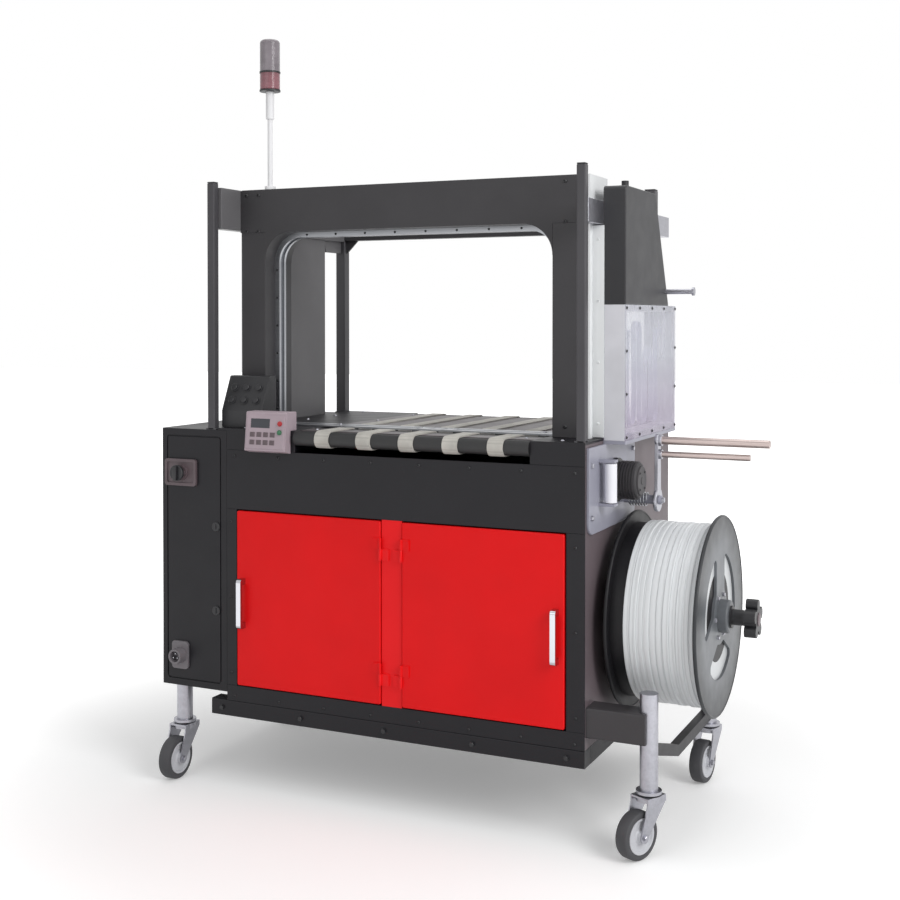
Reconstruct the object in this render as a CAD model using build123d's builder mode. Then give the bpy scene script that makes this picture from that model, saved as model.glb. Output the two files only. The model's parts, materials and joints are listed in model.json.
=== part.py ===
from build123d import *
import math
import os

os.makedirs("parts", exist_ok=True)

# Arch strapping machine on casters. X runs to the right, Y to the back and Z up.
# The origin is on the floor, under the middle of the whole machine. All sizes are in mm.

# Overall size
length = 1410.0
depth = 692.0
table_height = 850.0
post_top = 1430.0
lamp_top = 1780.0

# Cabinet
cabinet_front = -294.0
cabinet_back = depth / 2
cabinet_left = -517.0
cabinet_right = 374.0
cabinet_bottom = 168.0
sheet = 4.0
rail_width = 40.0
rail_height = 38.0
rail_left_end = -561.0
floor_sheet = 6.0
sill_top = 243.0
apron_bottom = 660.0
apron_top = 800.0
flange_depth = 24.0

# Doors
opening_left = -489.0
opening_right = 333.0
centre_post_left = -103.0
centre_post_right = -53.0
centre_post_depth = 30.0
door_gap = 3.0
door_proud = 4.0
door_thickness = 18.0
door_skin = 2.0
hinge_side_gap = 2.0
hinge_axis_proud = 7.0
hinge_axis_offset = 1.0
barrel_radius = 3.5
barrel_half = 25.0
barrel_slack = 0.5
hinge_pin_radius = 1.6
hinge_bore_radius = 1.68
hinge_heights = (290.0, 570.0)
hinge_leaf = 20.0
handle_inset = 18.0
handle_low = 383.0
handle_high = 500.0
handle_width = 12.0
handle_depth = 22.0
handle_bar = 8.0
handle_foot = 14.0

# Control cabinet at the left end
box_left = -length / 2
box_bottom = 225.0
table_sheet = 5.0
box_top = table_height - table_sheet
groove_inset = 16.0
groove_width = 3.0
groove_depth = 3.0
groove_corner = 8.0

# Main switch and power inlet on the control cabinet
switch_centre = (-646.0, 740.0)
switch_size = (90.0, 64.0)
switch_plate = 7.0
switch_rim = 7.0
switch_recess = 3.0
dial_radius = 20.0
dial_height = 6.0
grip_size = (34.0, 10.0)
grip_height = 12.0
inlet_centre = (-649.0, 300.0)
inlet_size = (46.0, 66.0)
inlet_plate = 6.0
inlet_corner = 8.0
inlet_radius = 19.0
inlet_reach = 22.0
inlet_taper = 4.0
inlet_bore = 13.0
inlet_depth = 16.0

# Operator console and control panel
console_left = -548.0
console_right = -436.0
console_front = -268.0
console_crest = -232.0
console_back = -204.0
console_knee = 890.0
console_top = 972.0
panel_left = -450.0
panel_right = -340.0
panel_low = 797.0
panel_chin = 803.0
panel_top = 893.0
panel_chin_proud = 26.0
panel_top_proud = 16.0
panel_reach = 26.0

# Table with its belts
roller_left = -329.0
roller_right = 251.0
roller_radius = 17.0
belt_thickness = 3.0
belt_width = 36.0
belt_pitch = 107.0
belt_count = 5
roller_rows = (-286.0, -190.0, -78.0, 318.0)
roller_axis_height = table_height - roller_radius
head_front = -164.0
head_back = -104.0
head_thickness = 4.0
strap_slot = 14.0
strap_slot_depth = 2.0
slider_bay = (96.0, 44.0)
slider_size = (26.0, 38.0)
slider_pitch = 30.0
slider_height = 1.6

# Arch and the frame round it
arch_front = -194.0
arch_back = -74.0
arch_left = -543.0
arch_right = 346.0
left_leg_width = 70.0
right_leg_width = 82.0
beam_bottom = 1317.0
beam_top = 1420.0
beam_edge = 6.0
beam_joint = 20.0
corner_radius = 70.0
track_depth = 12.0
track_width = 30.0
groove_cut = 7.0
front_post = 20.0
rear_post = 28.0
rail_size = 28.0
side_plate = 4.0
left_rail_bottom = 1322.0
right_rail_bottom = 1312.0
right_rail_top = 1362.0
rear_beam_bottom = 1325.0
panel_front = -74.0
panel_back = 218.0
panel_thickness = 20.0
gusset = 36.0
gusset_sheet = 6.0
side_gusset_front = 224.0
side_gusset_slope = 12.0
side_gusset_bottom = 1290.0

# Strap store at the right side
store_front = -174.0
store_back = 227.0
store_inner = 374.0
store_outer = 424.0
store_bottom = 846.0
store_window_top = 1139.0
store_bar = 14.0
store_sheet = 2.0
cover_top = 1395.0
cover_back_low = 164.0
cover_back_high = 54.0
cover_knob_y = -100.0
cover_knob_radius = 8.0
cover_knob_height = 16.0
guide_pin_y = 138.0
guide_pin_z = 1172.0
guide_pin_end = 493.0
guide_pin_radius = 6.0
guide_pin_head = 5.0
guide_pin_head_radius = 10.0

# Feed bracket, pay-off arm and brake
bracket_plate = 6.0
bracket_front = -284.0
bracket_back = 40.0
bracket_bottom = 655.0
bracket_corner = 24.0
shelf_bottom = 838.0
guide_roller_at = (404.0, -212.0)
guide_roller_low = 718.0
guide_roller_high = 801.0
guide_roller_radius = 13.0
guide_roller_pin = 5.0
ear_half = 12.0
ear_sheet = 6.0
ear_gap = 2.0
brake_at = (-112.0, 755.0)
brake_radius = 40.0
brake_end = 440.0
brake_flange_radius = 48.0
brake_flange = 10.0
pivot_y = -37.0
pivot_z = 705.0
lever_near = 452.0
lever_far = 460.0
lever_hub_radius = 26.0
lever_pin_radius = 10.0
lever_pin_spare = 6.0
lever_root = 14.0
lever_tip = 11.0
lever_eye = 14.0
upper_bar_z = 838.0
lower_bar_z = 807.0
upper_bar_end = length / 2
lower_bar_end = 662.0
upper_bar_radius = 9.0
lower_bar_radius = 7.0

# Reel
reel_y = -37.0
reel_z = 459.0
flange_radius = 219.0
winding_radius = 200.0
core_radius = 100.0
inner_flange_at = 401.0
coil_near = 437.0
outer_flange_at = 592.0
flange_thickness = 6.0
shaft_radius = 15.0
running_gap = 0.05
window_inner = 62.0
window_outer = 138.0
spoke_width = 72.0
window_corner = 12.0
outer_hub_radius = 36.0
cheek_radius = 192.0
bearing_plate = 8.0
bearing_plate_radius = 58.0
bearing_depth = 21.0
bearing_radius = 32.0
bearing_floor = 2.0
knob_at = 621.0
knob_end = 681.0
knob_washer = 4.0
knob_washer_radius = 24.0
knob_neck_radius = 17.0
knob_grip = 26.0
knob_middle_radius = 26.0
knob_radius = 43.0
knob_lobe = 13.0
knob_lobes = 5

# Right outrigger and casters
arm_bottom = 232.0
arm_height = 64.0
arm_width = 60.0
tie_width = 20.0
tie_height = 26.0
tie_low = 145.0
tie_high = 206.0
tie_bend = -60.0
wheel_radius = 50.0
wheel_width = 32.0
tread_round = 5.0
wheel_dish_radius = 36.0
wheel_boss_radius = 16.0
wheel_dish = 6.0
hub_radius = 12.0
hub_width = 41.0
axle_radius = 4.0
caster_trail = 38.0
fork_sheet = 3.0
fork_slack = 0.5
fork_top = 126.0
fork_plate = 4.0
fork_back = -26.0
fork_front = 30.0
fork_front_drop = 14.0
fork_back_drop = 12.0
fork_foot = 12.0
race_radius = 27.0
race_height = 12.0
stem_radius = 19.0
stem_gap = 3.0
stem_flange = 6.0
kingpin_radius = 6.0
kingpin_reach = 8.0
tube_top = 335.0
caster_row_front = -258.0
caster_row_back = 250.0
caster_left = -665.0
caster_right = 502.0
casters = {
    "front_left": (caster_left, caster_row_front, 270.0, box_bottom),
    "front_right": (caster_right, caster_row_front, 245.0, tube_top),
    "rear_left": (caster_left, caster_row_back, 280.0, box_bottom),
    "rear_right": (caster_right, caster_row_back, 262.0, tube_top),
}

# Signal tower
tower_x = -467.0
tower_y = -180.0
tower_neck = 1590.0
lamp_bottom = 1658.0
lamp_split = 1702.0
lamp_radius = 24.0
pole_radius = 6.0
pole_foot = 8.0
pole_foot_radius = 13.0
neck_radius = 10.0


def block(low, high, mode=Mode.ADD):
    """A box between two corners, in the part that is being built."""
    size = [b - a for a, b in zip(low, high)]
    centre = [(a + b) / 2 for a, b in zip(low, high)]
    with Locations(tuple(centre)):
        Box(*size, mode=mode)


def rod(low, high, radius, mode=Mode.ADD):
    """A round bar between two points on a line along X, Y or Z."""
    start = Vector(*low)
    reach = Vector(*high) - start
    with Locations(Plane(origin=start + reach / 2, z_dir=reach)):
        Cylinder(radius, reach.length, mode=mode)


def save(piece, name):
    """Names the finished piece and writes its file."""
    piece.part.label = name
    export_step(piece.part, f"parts/{name}.step")


# Base rails: the front one carries the door sill
with BuildPart() as base_rails:
    block(
        (rail_left_end, cabinet_front, cabinet_bottom),
        (cabinet_right, cabinet_front + rail_width, cabinet_bottom + rail_height),
    )
    block(
        (rail_left_end, cabinet_back - rail_width, cabinet_bottom),
        (cabinet_right, cabinet_back, cabinet_bottom + rail_height),
    )
    fillet(base_rails.edges().filter_by(Axis.X), 3.0)
save(base_rails, "base_rails")

rail_top = cabinet_bottom + rail_height

with BuildPart() as door_sill:
    with BuildSketch(Plane.YZ.offset(cabinet_left)):
        with BuildLine():
            Polyline(
                (cabinet_front, rail_top),
                (cabinet_front + sheet, rail_top),
                (cabinet_front + sheet, sill_top - sheet),
                (cabinet_front + flange_depth, sill_top - sheet),
                (cabinet_front + flange_depth, sill_top),
                (cabinet_front, sill_top),
                close=True,
            )
        make_face()
    extrude(amount=cabinet_right - cabinet_left)
    for end_left in (cabinet_left, cabinet_right - sheet):
        block(
            (end_left, cabinet_front + sheet, rail_top),
            (end_left + sheet, cabinet_front + flange_depth, sill_top),
            mode=Mode.SUBTRACT,
        )
save(door_sill, "door_sill")

with BuildPart() as cabinet_floor:
    block(
        (cabinet_left, cabinet_front + rail_width, rail_top - floor_sheet),
        (cabinet_right, cabinet_back - rail_width, rail_top),
    )
    for rib_left in (cabinet_left, cabinet_right - rail_width):
        block(
            (rib_left, cabinet_front + rail_width, cabinet_bottom),
            (rib_left + rail_width, cabinet_back - rail_width, rail_top),
        )
save(cabinet_floor, "cabinet_floor")

with BuildPart() as side_walls:
    for wall_left in (cabinet_left, cabinet_right - sheet):
        block(
            (wall_left, cabinet_front + sheet, rail_top),
            (wall_left + sheet, cabinet_back - sheet, box_top),
        )
save(side_walls, "side_walls")

with BuildPart() as back_wall:
    block(
        (cabinet_left, cabinet_back - sheet, rail_top),
        (cabinet_right, cabinet_back, box_top),
    )
save(back_wall, "back_wall")

with BuildPart() as front_apron:
    with BuildSketch(Plane.YZ.offset(cabinet_left)):
        with BuildLine():
            Polyline(
                (cabinet_front, apron_bottom),
                (cabinet_front + flange_depth, apron_bottom),
                (cabinet_front + flange_depth, apron_bottom + sheet),
                (cabinet_front + sheet, apron_bottom + sheet),
                (cabinet_front + sheet, apron_top),
                (cabinet_front, apron_top),
                close=True,
            )
        make_face()
    extrude(amount=cabinet_right - cabinet_left)
    for end_left in (cabinet_left, cabinet_right - sheet):
        block(
            (end_left, cabinet_front + sheet, apron_bottom),
            (end_left + sheet, cabinet_front + flange_depth, apron_top),
            mode=Mode.SUBTRACT,
        )
save(front_apron, "front_apron")

with BuildPart() as front_stiles:
    block(
        (cabinet_left, cabinet_front, sill_top),
        (opening_left, cabinet_front + sheet, apron_bottom),
    )
    block(
        (opening_left - sheet, cabinet_front + sheet, sill_top),
        (opening_left, cabinet_front + flange_depth, apron_bottom),
    )
    block(
        (opening_right, cabinet_front, sill_top),
        (cabinet_right, cabinet_front + sheet, apron_bottom),
    )
    block(
        (opening_right, cabinet_front + sheet, sill_top),
        (opening_right + sheet, cabinet_front + flange_depth, apron_bottom),
    )
save(front_stiles, "front_stiles")

# Centre post: both doors hang on it, on lift-off hinges with their pins standing up
door_front = cabinet_front - door_proud
hinge_y = cabinet_front - hinge_axis_proud
left_hinge_x = centre_post_left - hinge_axis_offset
right_hinge_x = centre_post_right + hinge_axis_offset

with BuildPart() as centre_post:
    block(
        (centre_post_left, cabinet_front, sill_top),
        (centre_post_right, cabinet_front + centre_post_depth, apron_bottom),
    )
    for hinge_x, side in ((left_hinge_x, 1), (right_hinge_x, -1)):
        for low in hinge_heights:
            leaf_ends = sorted((hinge_x, hinge_x + side * hinge_leaf))
            block(
                (leaf_ends[0], hinge_y + barrel_radius - 1.0, low),
                (leaf_ends[1], cabinet_front, low + barrel_half),
            )
            rod((hinge_x, hinge_y, low), (hinge_x, hinge_y, low + barrel_half), barrel_radius)
            pin_top = low + 2 * barrel_half - 3.0
            rod((hinge_x, hinge_y, low), (hinge_x, hinge_y, pin_top), hinge_pin_radius)
save(centre_post, "centre_post")


def make_door(name, hinge_x, side):
    """A pan-shaped door. Side is -1 for the left leaf and 1 for the right one."""
    near = hinge_x + side * hinge_side_gap / 2
    far = (opening_left + door_gap) if side < 0 else (opening_right - door_gap)
    left, right = sorted((near, far))
    low = sill_top + door_gap
    high = apron_bottom - door_gap
    with BuildPart() as door:
        block((left, door_front, low), (right, door_front + door_thickness, high))
        fillet(door.edges().filter_by(Axis.Y), 4.0)
        chamfer(door.faces().sort_by(Axis.Y)[0].edges(), 1.5)
        block(
            (left + door_skin, door_front + door_skin, low + door_skin),
            (right - door_skin, door_front + door_thickness, high - door_skin),
            mode=Mode.SUBTRACT,
        )
        for barrel_low in hinge_heights:
            leaf_low = barrel_low + barrel_half + barrel_slack
            leaf_high = barrel_low + 2 * barrel_half
            leaf_ends = sorted((hinge_x, hinge_x + side * hinge_leaf))
            block(
                (leaf_ends[0], hinge_y, leaf_low),
                (leaf_ends[1], door_front, leaf_high),
            )
            rod((hinge_x, hinge_y, leaf_low), (hinge_x, hinge_y, leaf_high), barrel_radius)
            rod(
                (hinge_x, hinge_y, leaf_low),
                (hinge_x, hinge_y, leaf_high - 1.5),
                hinge_bore_radius,
                mode=Mode.SUBTRACT,
            )
    save(door, name)


def make_handle(name, centre_x):
    """A bow handle that stands on the door skin."""
    with BuildPart() as handle:
        with BuildSketch(Plane.YZ.offset(centre_x - handle_width / 2)):
            with BuildLine():
                Polyline(
                    (door_front, handle_low),
                    (door_front, handle_low + handle_foot),
                    (door_front - handle_depth + handle_bar, handle_low + handle_foot),
                    (door_front - handle_depth + handle_bar, handle_high - handle_foot),
                    (door_front, handle_high - handle_foot),
                    (door_front, handle_high),
                    (door_front - handle_depth, handle_high),
                    (door_front - handle_depth, handle_low),
                    close=True,
                )
            make_face()
        extrude(amount=handle_width)
        outer = handle.edges().filter_by(Axis.X).group_by(Axis.Y)[0]
        fillet(outer, 9.0)
    save(handle, name)


make_door("left_door", left_hinge_x, -1)
make_door("right_door", right_hinge_x, 1)
make_handle("left_handle", opening_left + door_gap + handle_inset)
make_handle("right_handle", opening_right - door_gap - handle_inset)

# Control cabinet: a closed housing with its door marked by a groove
with BuildPart() as control_cabinet:
    block((box_left, cabinet_front, box_bottom), (cabinet_left, cabinet_back, box_top))
    fillet(
        control_cabinet.edges().filter_by(Axis.Z).sort_by(Axis.X)[0:2],
        6.0,
    )
    box_mid = ((box_left + cabinet_left) / 2, (box_bottom + box_top) / 2)
    front_plane = Plane(
        origin=(box_mid[0], cabinet_front, box_mid[1]), x_dir=(1, 0, 0), z_dir=(0, -1, 0)
    )
    with BuildSketch(front_plane):
        outer_size = (cabinet_left - box_left - 2 * groove_inset, box_top - box_bottom - 2 * groove_inset)
        RectangleRounded(outer_size[0], outer_size[1], groove_corner)
        RectangleRounded(
            outer_size[0] - 2 * groove_width,
            outer_size[1] - 2 * groove_width,
            groove_corner - groove_width,
            mode=Mode.SUBTRACT,
        )
    extrude(amount=-groove_depth, mode=Mode.SUBTRACT)
save(control_cabinet, "control_cabinet")

# Main switch plate and power inlet on the front of the control cabinet
with BuildPart() as main_switch:
    switch_face = Plane(
        origin=(switch_centre[0], cabinet_front, switch_centre[1]), x_dir=(1, 0, 0), z_dir=(0, -1, 0)
    )
    with BuildSketch(switch_face):
        RectangleRounded(*switch_size, switch_rim)
    extrude(amount=switch_plate)
    with BuildSketch(switch_face.offset(switch_plate)):
        RectangleRounded(switch_size[0] - 2 * switch_rim, switch_size[1] - 2 * switch_rim, 4.0)
    extrude(amount=-switch_recess, mode=Mode.SUBTRACT)
    with BuildSketch(switch_face.offset(switch_plate - switch_recess)):
        Circle(dial_radius)
    extrude(amount=dial_height)
    with BuildSketch(switch_face.offset(switch_plate - switch_recess + dial_height)):
        SlotOverall(*grip_size)
    extrude(amount=grip_height)
save(main_switch, "main_switch")

with BuildPart() as power_inlet:
    inlet_face = Plane(
        origin=(inlet_centre[0], cabinet_front, inlet_centre[1]), x_dir=(1, 0, 0), z_dir=(0, -1, 0)
    )
    with BuildSketch(inlet_face):
        RectangleRounded(*inlet_size, inlet_corner)
    extrude(amount=inlet_plate)
    with BuildSketch(inlet_face.offset(inlet_plate)):
        Circle(inlet_radius)
    extrude(amount=inlet_reach, taper=inlet_taper)
    with BuildSketch(inlet_face.offset(inlet_plate + inlet_reach)):
        Circle(inlet_bore)
    extrude(amount=-inlet_depth, mode=Mode.SUBTRACT)
save(power_inlet, "power_inlet")

# Operator console at the left end of the table, and the panel on the table's front edge
with BuildPart() as control_console:
    with BuildSketch(Plane.YZ.offset(console_left)):
        with BuildLine():
            Polyline(
                (console_front, table_height),
                (console_front, console_knee),
                (console_crest, console_top),
                (console_back, console_top),
                (console_back, table_height),
                close=True,
            )
        make_face()
    extrude(amount=console_right - console_left)
    fillet(control_console.edges().filter_by(Axis.X).group_by(Axis.Z)[-1], 5.0)
save(control_console, "control_console")

with BuildPart() as control_panel:
    with BuildSketch(Plane.YZ.offset(panel_left)):
        with BuildLine():
            Polyline(
                (cabinet_front, panel_low),
                (cabinet_front - panel_chin_proud, panel_chin),
                (cabinet_front - panel_top_proud, panel_top),
                (cabinet_front + panel_reach, panel_top),
                (cabinet_front + panel_reach, table_height),
                (cabinet_front, table_height),
                close=True,
            )
        make_face()
    extrude(amount=panel_right - panel_left)
    fillet(control_panel.edges().filter_by(Axis.X).group_by(Axis.Z)[-1], 4.0)
save(control_panel, "control_panel")

# Table: end plates with their down-turned flanges, and the beds under the belts
with BuildPart() as table_ends:
    for plate_left, plate_right, skirt_left, web_left in (
        (arch_left, roller_left, cabinet_left, roller_left - sheet),
        (roller_right, cabinet_right, roller_right, roller_right),
    ):
        block((plate_left, cabinet_front, box_top), (plate_right, cabinet_back, table_height))
        block(
            (skirt_left, cabinet_front, apron_top),
            (plate_right, cabinet_front + sheet, box_top),
        )
        block(
            (web_left, cabinet_front + sheet, apron_top),
            (web_left + sheet, cabinet_back - sheet, box_top),
        )
save(table_ends, "table_ends")

belt_margin = roller_radius + belt_thickness
with BuildPart() as table_beds:
    for bed_front, bed_back in (
        (roller_rows[0] + belt_margin, roller_rows[1] - belt_margin),
        (roller_rows[2] + belt_margin, roller_rows[3] - belt_margin),
    ):
        block((roller_left, bed_front, box_top), (roller_right, bed_back, table_height))
save(table_beds, "table_beds")

with BuildPart() as table_rollers:
    for row in roller_rows:
        rod(
            (roller_left, row, roller_axis_height),
            (roller_right, row, roller_axis_height),
            roller_radius,
        )
save(table_rollers, "table_rollers")

belt_middle = (roller_left + roller_right) / 2
first_belt = belt_middle - belt_pitch * (belt_count - 1) / 2
with BuildPart() as table_belts:
    for index in range(belt_count):
        belt_left = first_belt + belt_pitch * index - belt_width / 2
        for row_front, row_back in (roller_rows[0:2], roller_rows[2:4]):
            belt_span = row_back - row_front
            loop_plane = Plane.YZ.offset(belt_left)
            with BuildSketch(loop_plane):
                with Locations(((row_front + row_back) / 2, roller_axis_height)):
                    SlotCenterToCenter(belt_span, 2 * belt_margin)
                    SlotCenterToCenter(belt_span, 2 * roller_radius, mode=Mode.SUBTRACT)
            extrude(amount=belt_width)
save(table_belts, "table_belts")

# Strapping head: the plate between the belts, with the slot that the strap runs in
opening_west = arch_left + left_leg_width
opening_east = arch_right - right_leg_width
head_middle = (head_front + head_back) / 2
head_top = table_height + head_thickness
slot_floor = head_top - strap_slot_depth
with BuildPart() as head_plate:
    block((opening_west, head_front, table_height), (opening_east, head_back, head_top))
    block(
        (opening_west, head_middle - strap_slot / 2, slot_floor),
        (opening_east, head_middle + strap_slot / 2, head_top),
        mode=Mode.SUBTRACT,
    )
    with BuildSketch(Plane((belt_middle, head_middle, slot_floor))):
        RectangleRounded(*slider_bay, 5.0)
    extrude(amount=strap_slot_depth, mode=Mode.SUBTRACT)
    with BuildSketch(Plane((belt_middle, head_middle, slot_floor))):
        with GridLocations(slider_pitch, 0, 3, 1):
            RectangleRounded(*slider_size, 2.0)
    extrude(amount=slider_height)
save(head_plate, "head_plate")

# Arch: two legs, the beam with its rounded inner corners, and the strap track inside
with BuildPart() as arch_legs:
    for leg_left, leg_right in ((arch_left, opening_west), (opening_east, arch_right)):
        block((leg_left, arch_front, table_height), (leg_right, arch_back, beam_bottom))
    for corner in arch_legs.edges().filter_by(Axis.Z).group_by(Axis.X)[0::3]:
        fillet(corner, beam_edge)
save(arch_legs, "arch_legs")


def arch_inside(inset):
    """The space inside the arch, down to the table, drawn in by the inset."""
    west = opening_west + inset
    east = opening_east - inset
    top = beam_bottom - inset
    with BuildSketch() as inside:
        with Locations(((west + east) / 2, (head_top + top) / 2)):
            Rectangle(east - west, top - head_top)
        fillet(inside.vertices().group_by(Axis.Y)[-1], corner_radius - inset)
    return inside.sketch


inside_arch = arch_inside(0.0)
inside_track = arch_inside(track_depth)
inside_slot = arch_inside(track_depth - groove_cut)

with BuildPart() as arch_beam:
    with BuildSketch(Plane.XZ.offset(-arch_back)):
        with Locations(((arch_left + arch_right) / 2, (beam_bottom + beam_top) / 2)):
            RectangleRounded(arch_right - arch_left, beam_top - beam_bottom, beam_edge)
        with Locations(((arch_left + arch_right) / 2, beam_bottom + beam_joint / 2)):
            Rectangle(arch_right - arch_left, beam_joint)
        for corner_x in (opening_west + corner_radius / 2, opening_east - corner_radius / 2):
            with Locations((corner_x, beam_bottom - corner_radius / 2)):
                Rectangle(corner_radius, corner_radius)
        add(inside_arch, mode=Mode.SUBTRACT)
    extrude(amount=arch_back - arch_front)
save(arch_beam, "arch_beam")

track_back = head_middle + track_width / 2
with BuildPart() as strap_track:
    with BuildSketch(Plane.XZ.offset(-track_back)):
        add(inside_arch)
        add(inside_track, mode=Mode.SUBTRACT)
    extrude(amount=track_width)
    with BuildSketch(Plane.XZ.offset(-(head_middle + strap_slot / 2))):
        add(inside_slot)
    extrude(amount=strap_slot, mode=Mode.SUBTRACT)
save(strap_track, "strap_track")

# Light side plate on the right leg
with BuildPart() as arch_side_plate:
    block(
        (arch_right, arch_front, table_height),
        (arch_right + side_plate, arch_back, beam_top),
    )
save(arch_side_plate, "arch_side_plate")

# Corner posts, side rails, rear beam and left side panel
cage_left = arch_left - rail_size
cage_right = arch_right + rail_size
rear_post_front = cabinet_back - rear_post
post_corners = (
    (cage_left, cabinet_front, front_post, box_top),
    (cage_left, rear_post_front, rear_post, box_top),
    (cage_right - front_post, cabinet_front, front_post, table_height),
    (arch_right - rear_post, rear_post_front, rear_post, table_height),
)
with BuildPart() as corner_posts:
    for post_left, post_front, post_size, low in post_corners:
        block(
            (post_left, post_front, low),
            (post_left + post_size, post_front + post_size, post_top),
        )
    fillet(corner_posts.edges().filter_by(Axis.Z), 3.0)
    chamfer(corner_posts.faces().group_by(Axis.Z)[-1].edges(), 1.5)
save(corner_posts, "corner_posts")

with BuildPart() as left_side_rail:
    block(
        (cage_left, cabinet_front + front_post, left_rail_bottom),
        (arch_left, rear_post_front, beam_top),
    )
    with BuildSketch(Plane.YZ.offset((cage_left + arch_left - gusset_sheet) / 2)):
        with BuildLine():
            Polyline(
                (side_gusset_front, left_rail_bottom),
                (rear_post_front, left_rail_bottom),
                (rear_post_front, side_gusset_bottom),
                (side_gusset_front + side_gusset_slope, side_gusset_bottom),
                close=True,
            )
        make_face()
    extrude(amount=gusset_sheet)
save(left_side_rail, "left_side_rail")

with BuildPart() as right_side_rail:
    block(
        (arch_right + side_plate, cabinet_front + front_post, right_rail_bottom),
        (cage_right, cabinet_back, right_rail_top),
    )
    block(
        (arch_right, rear_post_front, right_rail_bottom),
        (arch_right + side_plate, cabinet_back, right_rail_top),
    )
save(right_side_rail, "right_side_rail")

with BuildPart() as rear_beam:
    block(
        (arch_left, rear_post_front, rear_beam_bottom),
        (arch_right - rear_post, cabinet_back, beam_top),
    )
    with BuildSketch(Plane.XZ.offset(-(cabinet_back - (rear_post - gusset_sheet) / 2))):
        for corner_x, reach in ((arch_left, gusset), (arch_right - rear_post, -gusset)):
            with BuildLine():
                Polyline(
                    (corner_x, rear_beam_bottom),
                    (corner_x + reach, rear_beam_bottom),
                    (corner_x, rear_beam_bottom - gusset),
                    close=True,
                )
            make_face()
    extrude(amount=gusset_sheet)
save(rear_beam, "rear_beam")

with BuildPart() as left_side_panel:
    panel_x = arch_left - (rail_size + panel_thickness) / 2
    block(
        (panel_x, panel_front, box_top),
        (panel_x + panel_thickness, panel_back, left_rail_bottom),
    )
save(left_side_panel, "left_side_panel")

# Strap store: a bar frame between two clear sheets, with the black cover on top
with BuildPart() as store_frame:
    block(
        (store_inner + store_sheet, store_front, store_bottom),
        (store_outer - store_sheet, store_back, store_window_top),
    )
    block(
        (store_inner, store_front + store_bar, store_bottom + store_bar),
        (store_outer, store_back - store_bar, store_window_top - store_bar),
        mode=Mode.SUBTRACT,
    )
save(store_frame, "store_frame")

with BuildPart() as store_windows:
    for sheet_left in (store_inner, store_outer - store_sheet):
        block(
            (sheet_left, store_front, store_bottom),
            (sheet_left + store_sheet, store_back, store_window_top),
        )
save(store_windows, "store_windows")

with BuildPart() as store_cover:
    with BuildSketch(Plane.YZ.offset(store_inner)):
        with BuildLine():
            Polyline(
                (store_front, store_window_top),
                (cover_back_low, store_window_top),
                (cover_back_high, cover_top),
                (store_front, cover_top),
                close=True,
            )
        make_face()
    extrude(amount=store_outer - store_inner)
    fillet(store_cover.edges().filter_by(Axis.X).group_by(Axis.Z)[-1], 10.0)
    fillet(store_cover.faces().sort_by(Axis.X)[-1].edges(), 3.0)
    cover_mid = (store_inner + store_outer) / 2
    rod(
        (cover_mid, cover_knob_y, cover_top),
        (cover_mid, cover_knob_y, cover_top + cover_knob_height),
        cover_knob_radius,
    )
save(store_cover, "store_cover")

with BuildPart() as store_guide_pin:
    pin_head_at = guide_pin_end - guide_pin_head
    rod(
        (store_outer, guide_pin_y, guide_pin_z),
        (pin_head_at, guide_pin_y, guide_pin_z),
        guide_pin_radius,
    )
    rod(
        (pin_head_at, guide_pin_y, guide_pin_z),
        (guide_pin_end, guide_pin_y, guide_pin_z),
        guide_pin_head_radius,
    )
save(store_guide_pin, "store_guide_pin")

# Feed bracket on the right wall, with the shelf under the strap store
with BuildPart() as feed_bracket:
    block(
        (store_inner, bracket_front, bracket_bottom),
        (store_inner + bracket_plate, bracket_back, shelf_bottom),
    )
    fillet(feed_bracket.edges().filter_by(Axis.X).group_by(Axis.Z)[0], bracket_corner)
    block(
        (store_inner, store_front, shelf_bottom),
        (store_outer, store_back, store_bottom),
    )
    rod(
        (store_inner + bracket_plate, pivot_y, pivot_z),
        (lever_far + lever_pin_spare, pivot_y, pivot_z),
        lever_pin_radius,
    )
    roller_x, roller_y = guide_roller_at
    for ear_low in (guide_roller_low - ear_gap - ear_sheet, guide_roller_high + ear_gap):
        block(
            (store_inner + bracket_plate, roller_y - ear_half, ear_low),
            (roller_x + ear_half, roller_y + ear_half, ear_low + ear_sheet),
        )
save(feed_bracket, "feed_bracket")

with BuildPart() as guide_roller:
    rod(
        (roller_x, roller_y, guide_roller_low - ear_gap),
        (roller_x, roller_y, guide_roller_high + ear_gap),
        guide_roller_pin,
    )
    rod(
        (roller_x, roller_y, guide_roller_low),
        (roller_x, roller_y, guide_roller_high),
        guide_roller_radius,
    )
save(guide_roller, "guide_roller")

with BuildPart() as reel_brake:
    brake_near = store_inner + bracket_plate
    rod((brake_near, *brake_at), (brake_near + brake_flange, *brake_at), brake_flange_radius)
    rod((brake_near + brake_flange, *brake_at), (brake_end, *brake_at), brake_radius)
    fillet(reel_brake.faces().sort_by(Axis.X)[-1].edges(), 6.0)
save(reel_brake, "reel_brake")

# Pay-off arm: a lever on the bracket's pin, and the two bars that the strap runs over
with BuildPart() as payoff_lever:
    with BuildSketch(Plane.YZ.offset(lever_near)):
        with BuildLine():
            Polyline(
                (pivot_y - lever_root, pivot_z),
                (pivot_y - lever_tip, upper_bar_z),
                (pivot_y + lever_tip, upper_bar_z),
                (pivot_y + lever_root, pivot_z),
                close=True,
            )
        make_face()
        with Locations((pivot_y, pivot_z)):
            Circle(lever_hub_radius)
        with Locations((pivot_y, upper_bar_z)):
            Circle(lever_eye)
        with Locations((pivot_y, pivot_z)):
            Circle(lever_pin_radius + running_gap, mode=Mode.SUBTRACT)
    extrude(amount=lever_far - lever_near)
save(payoff_lever, "payoff_lever")

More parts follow.
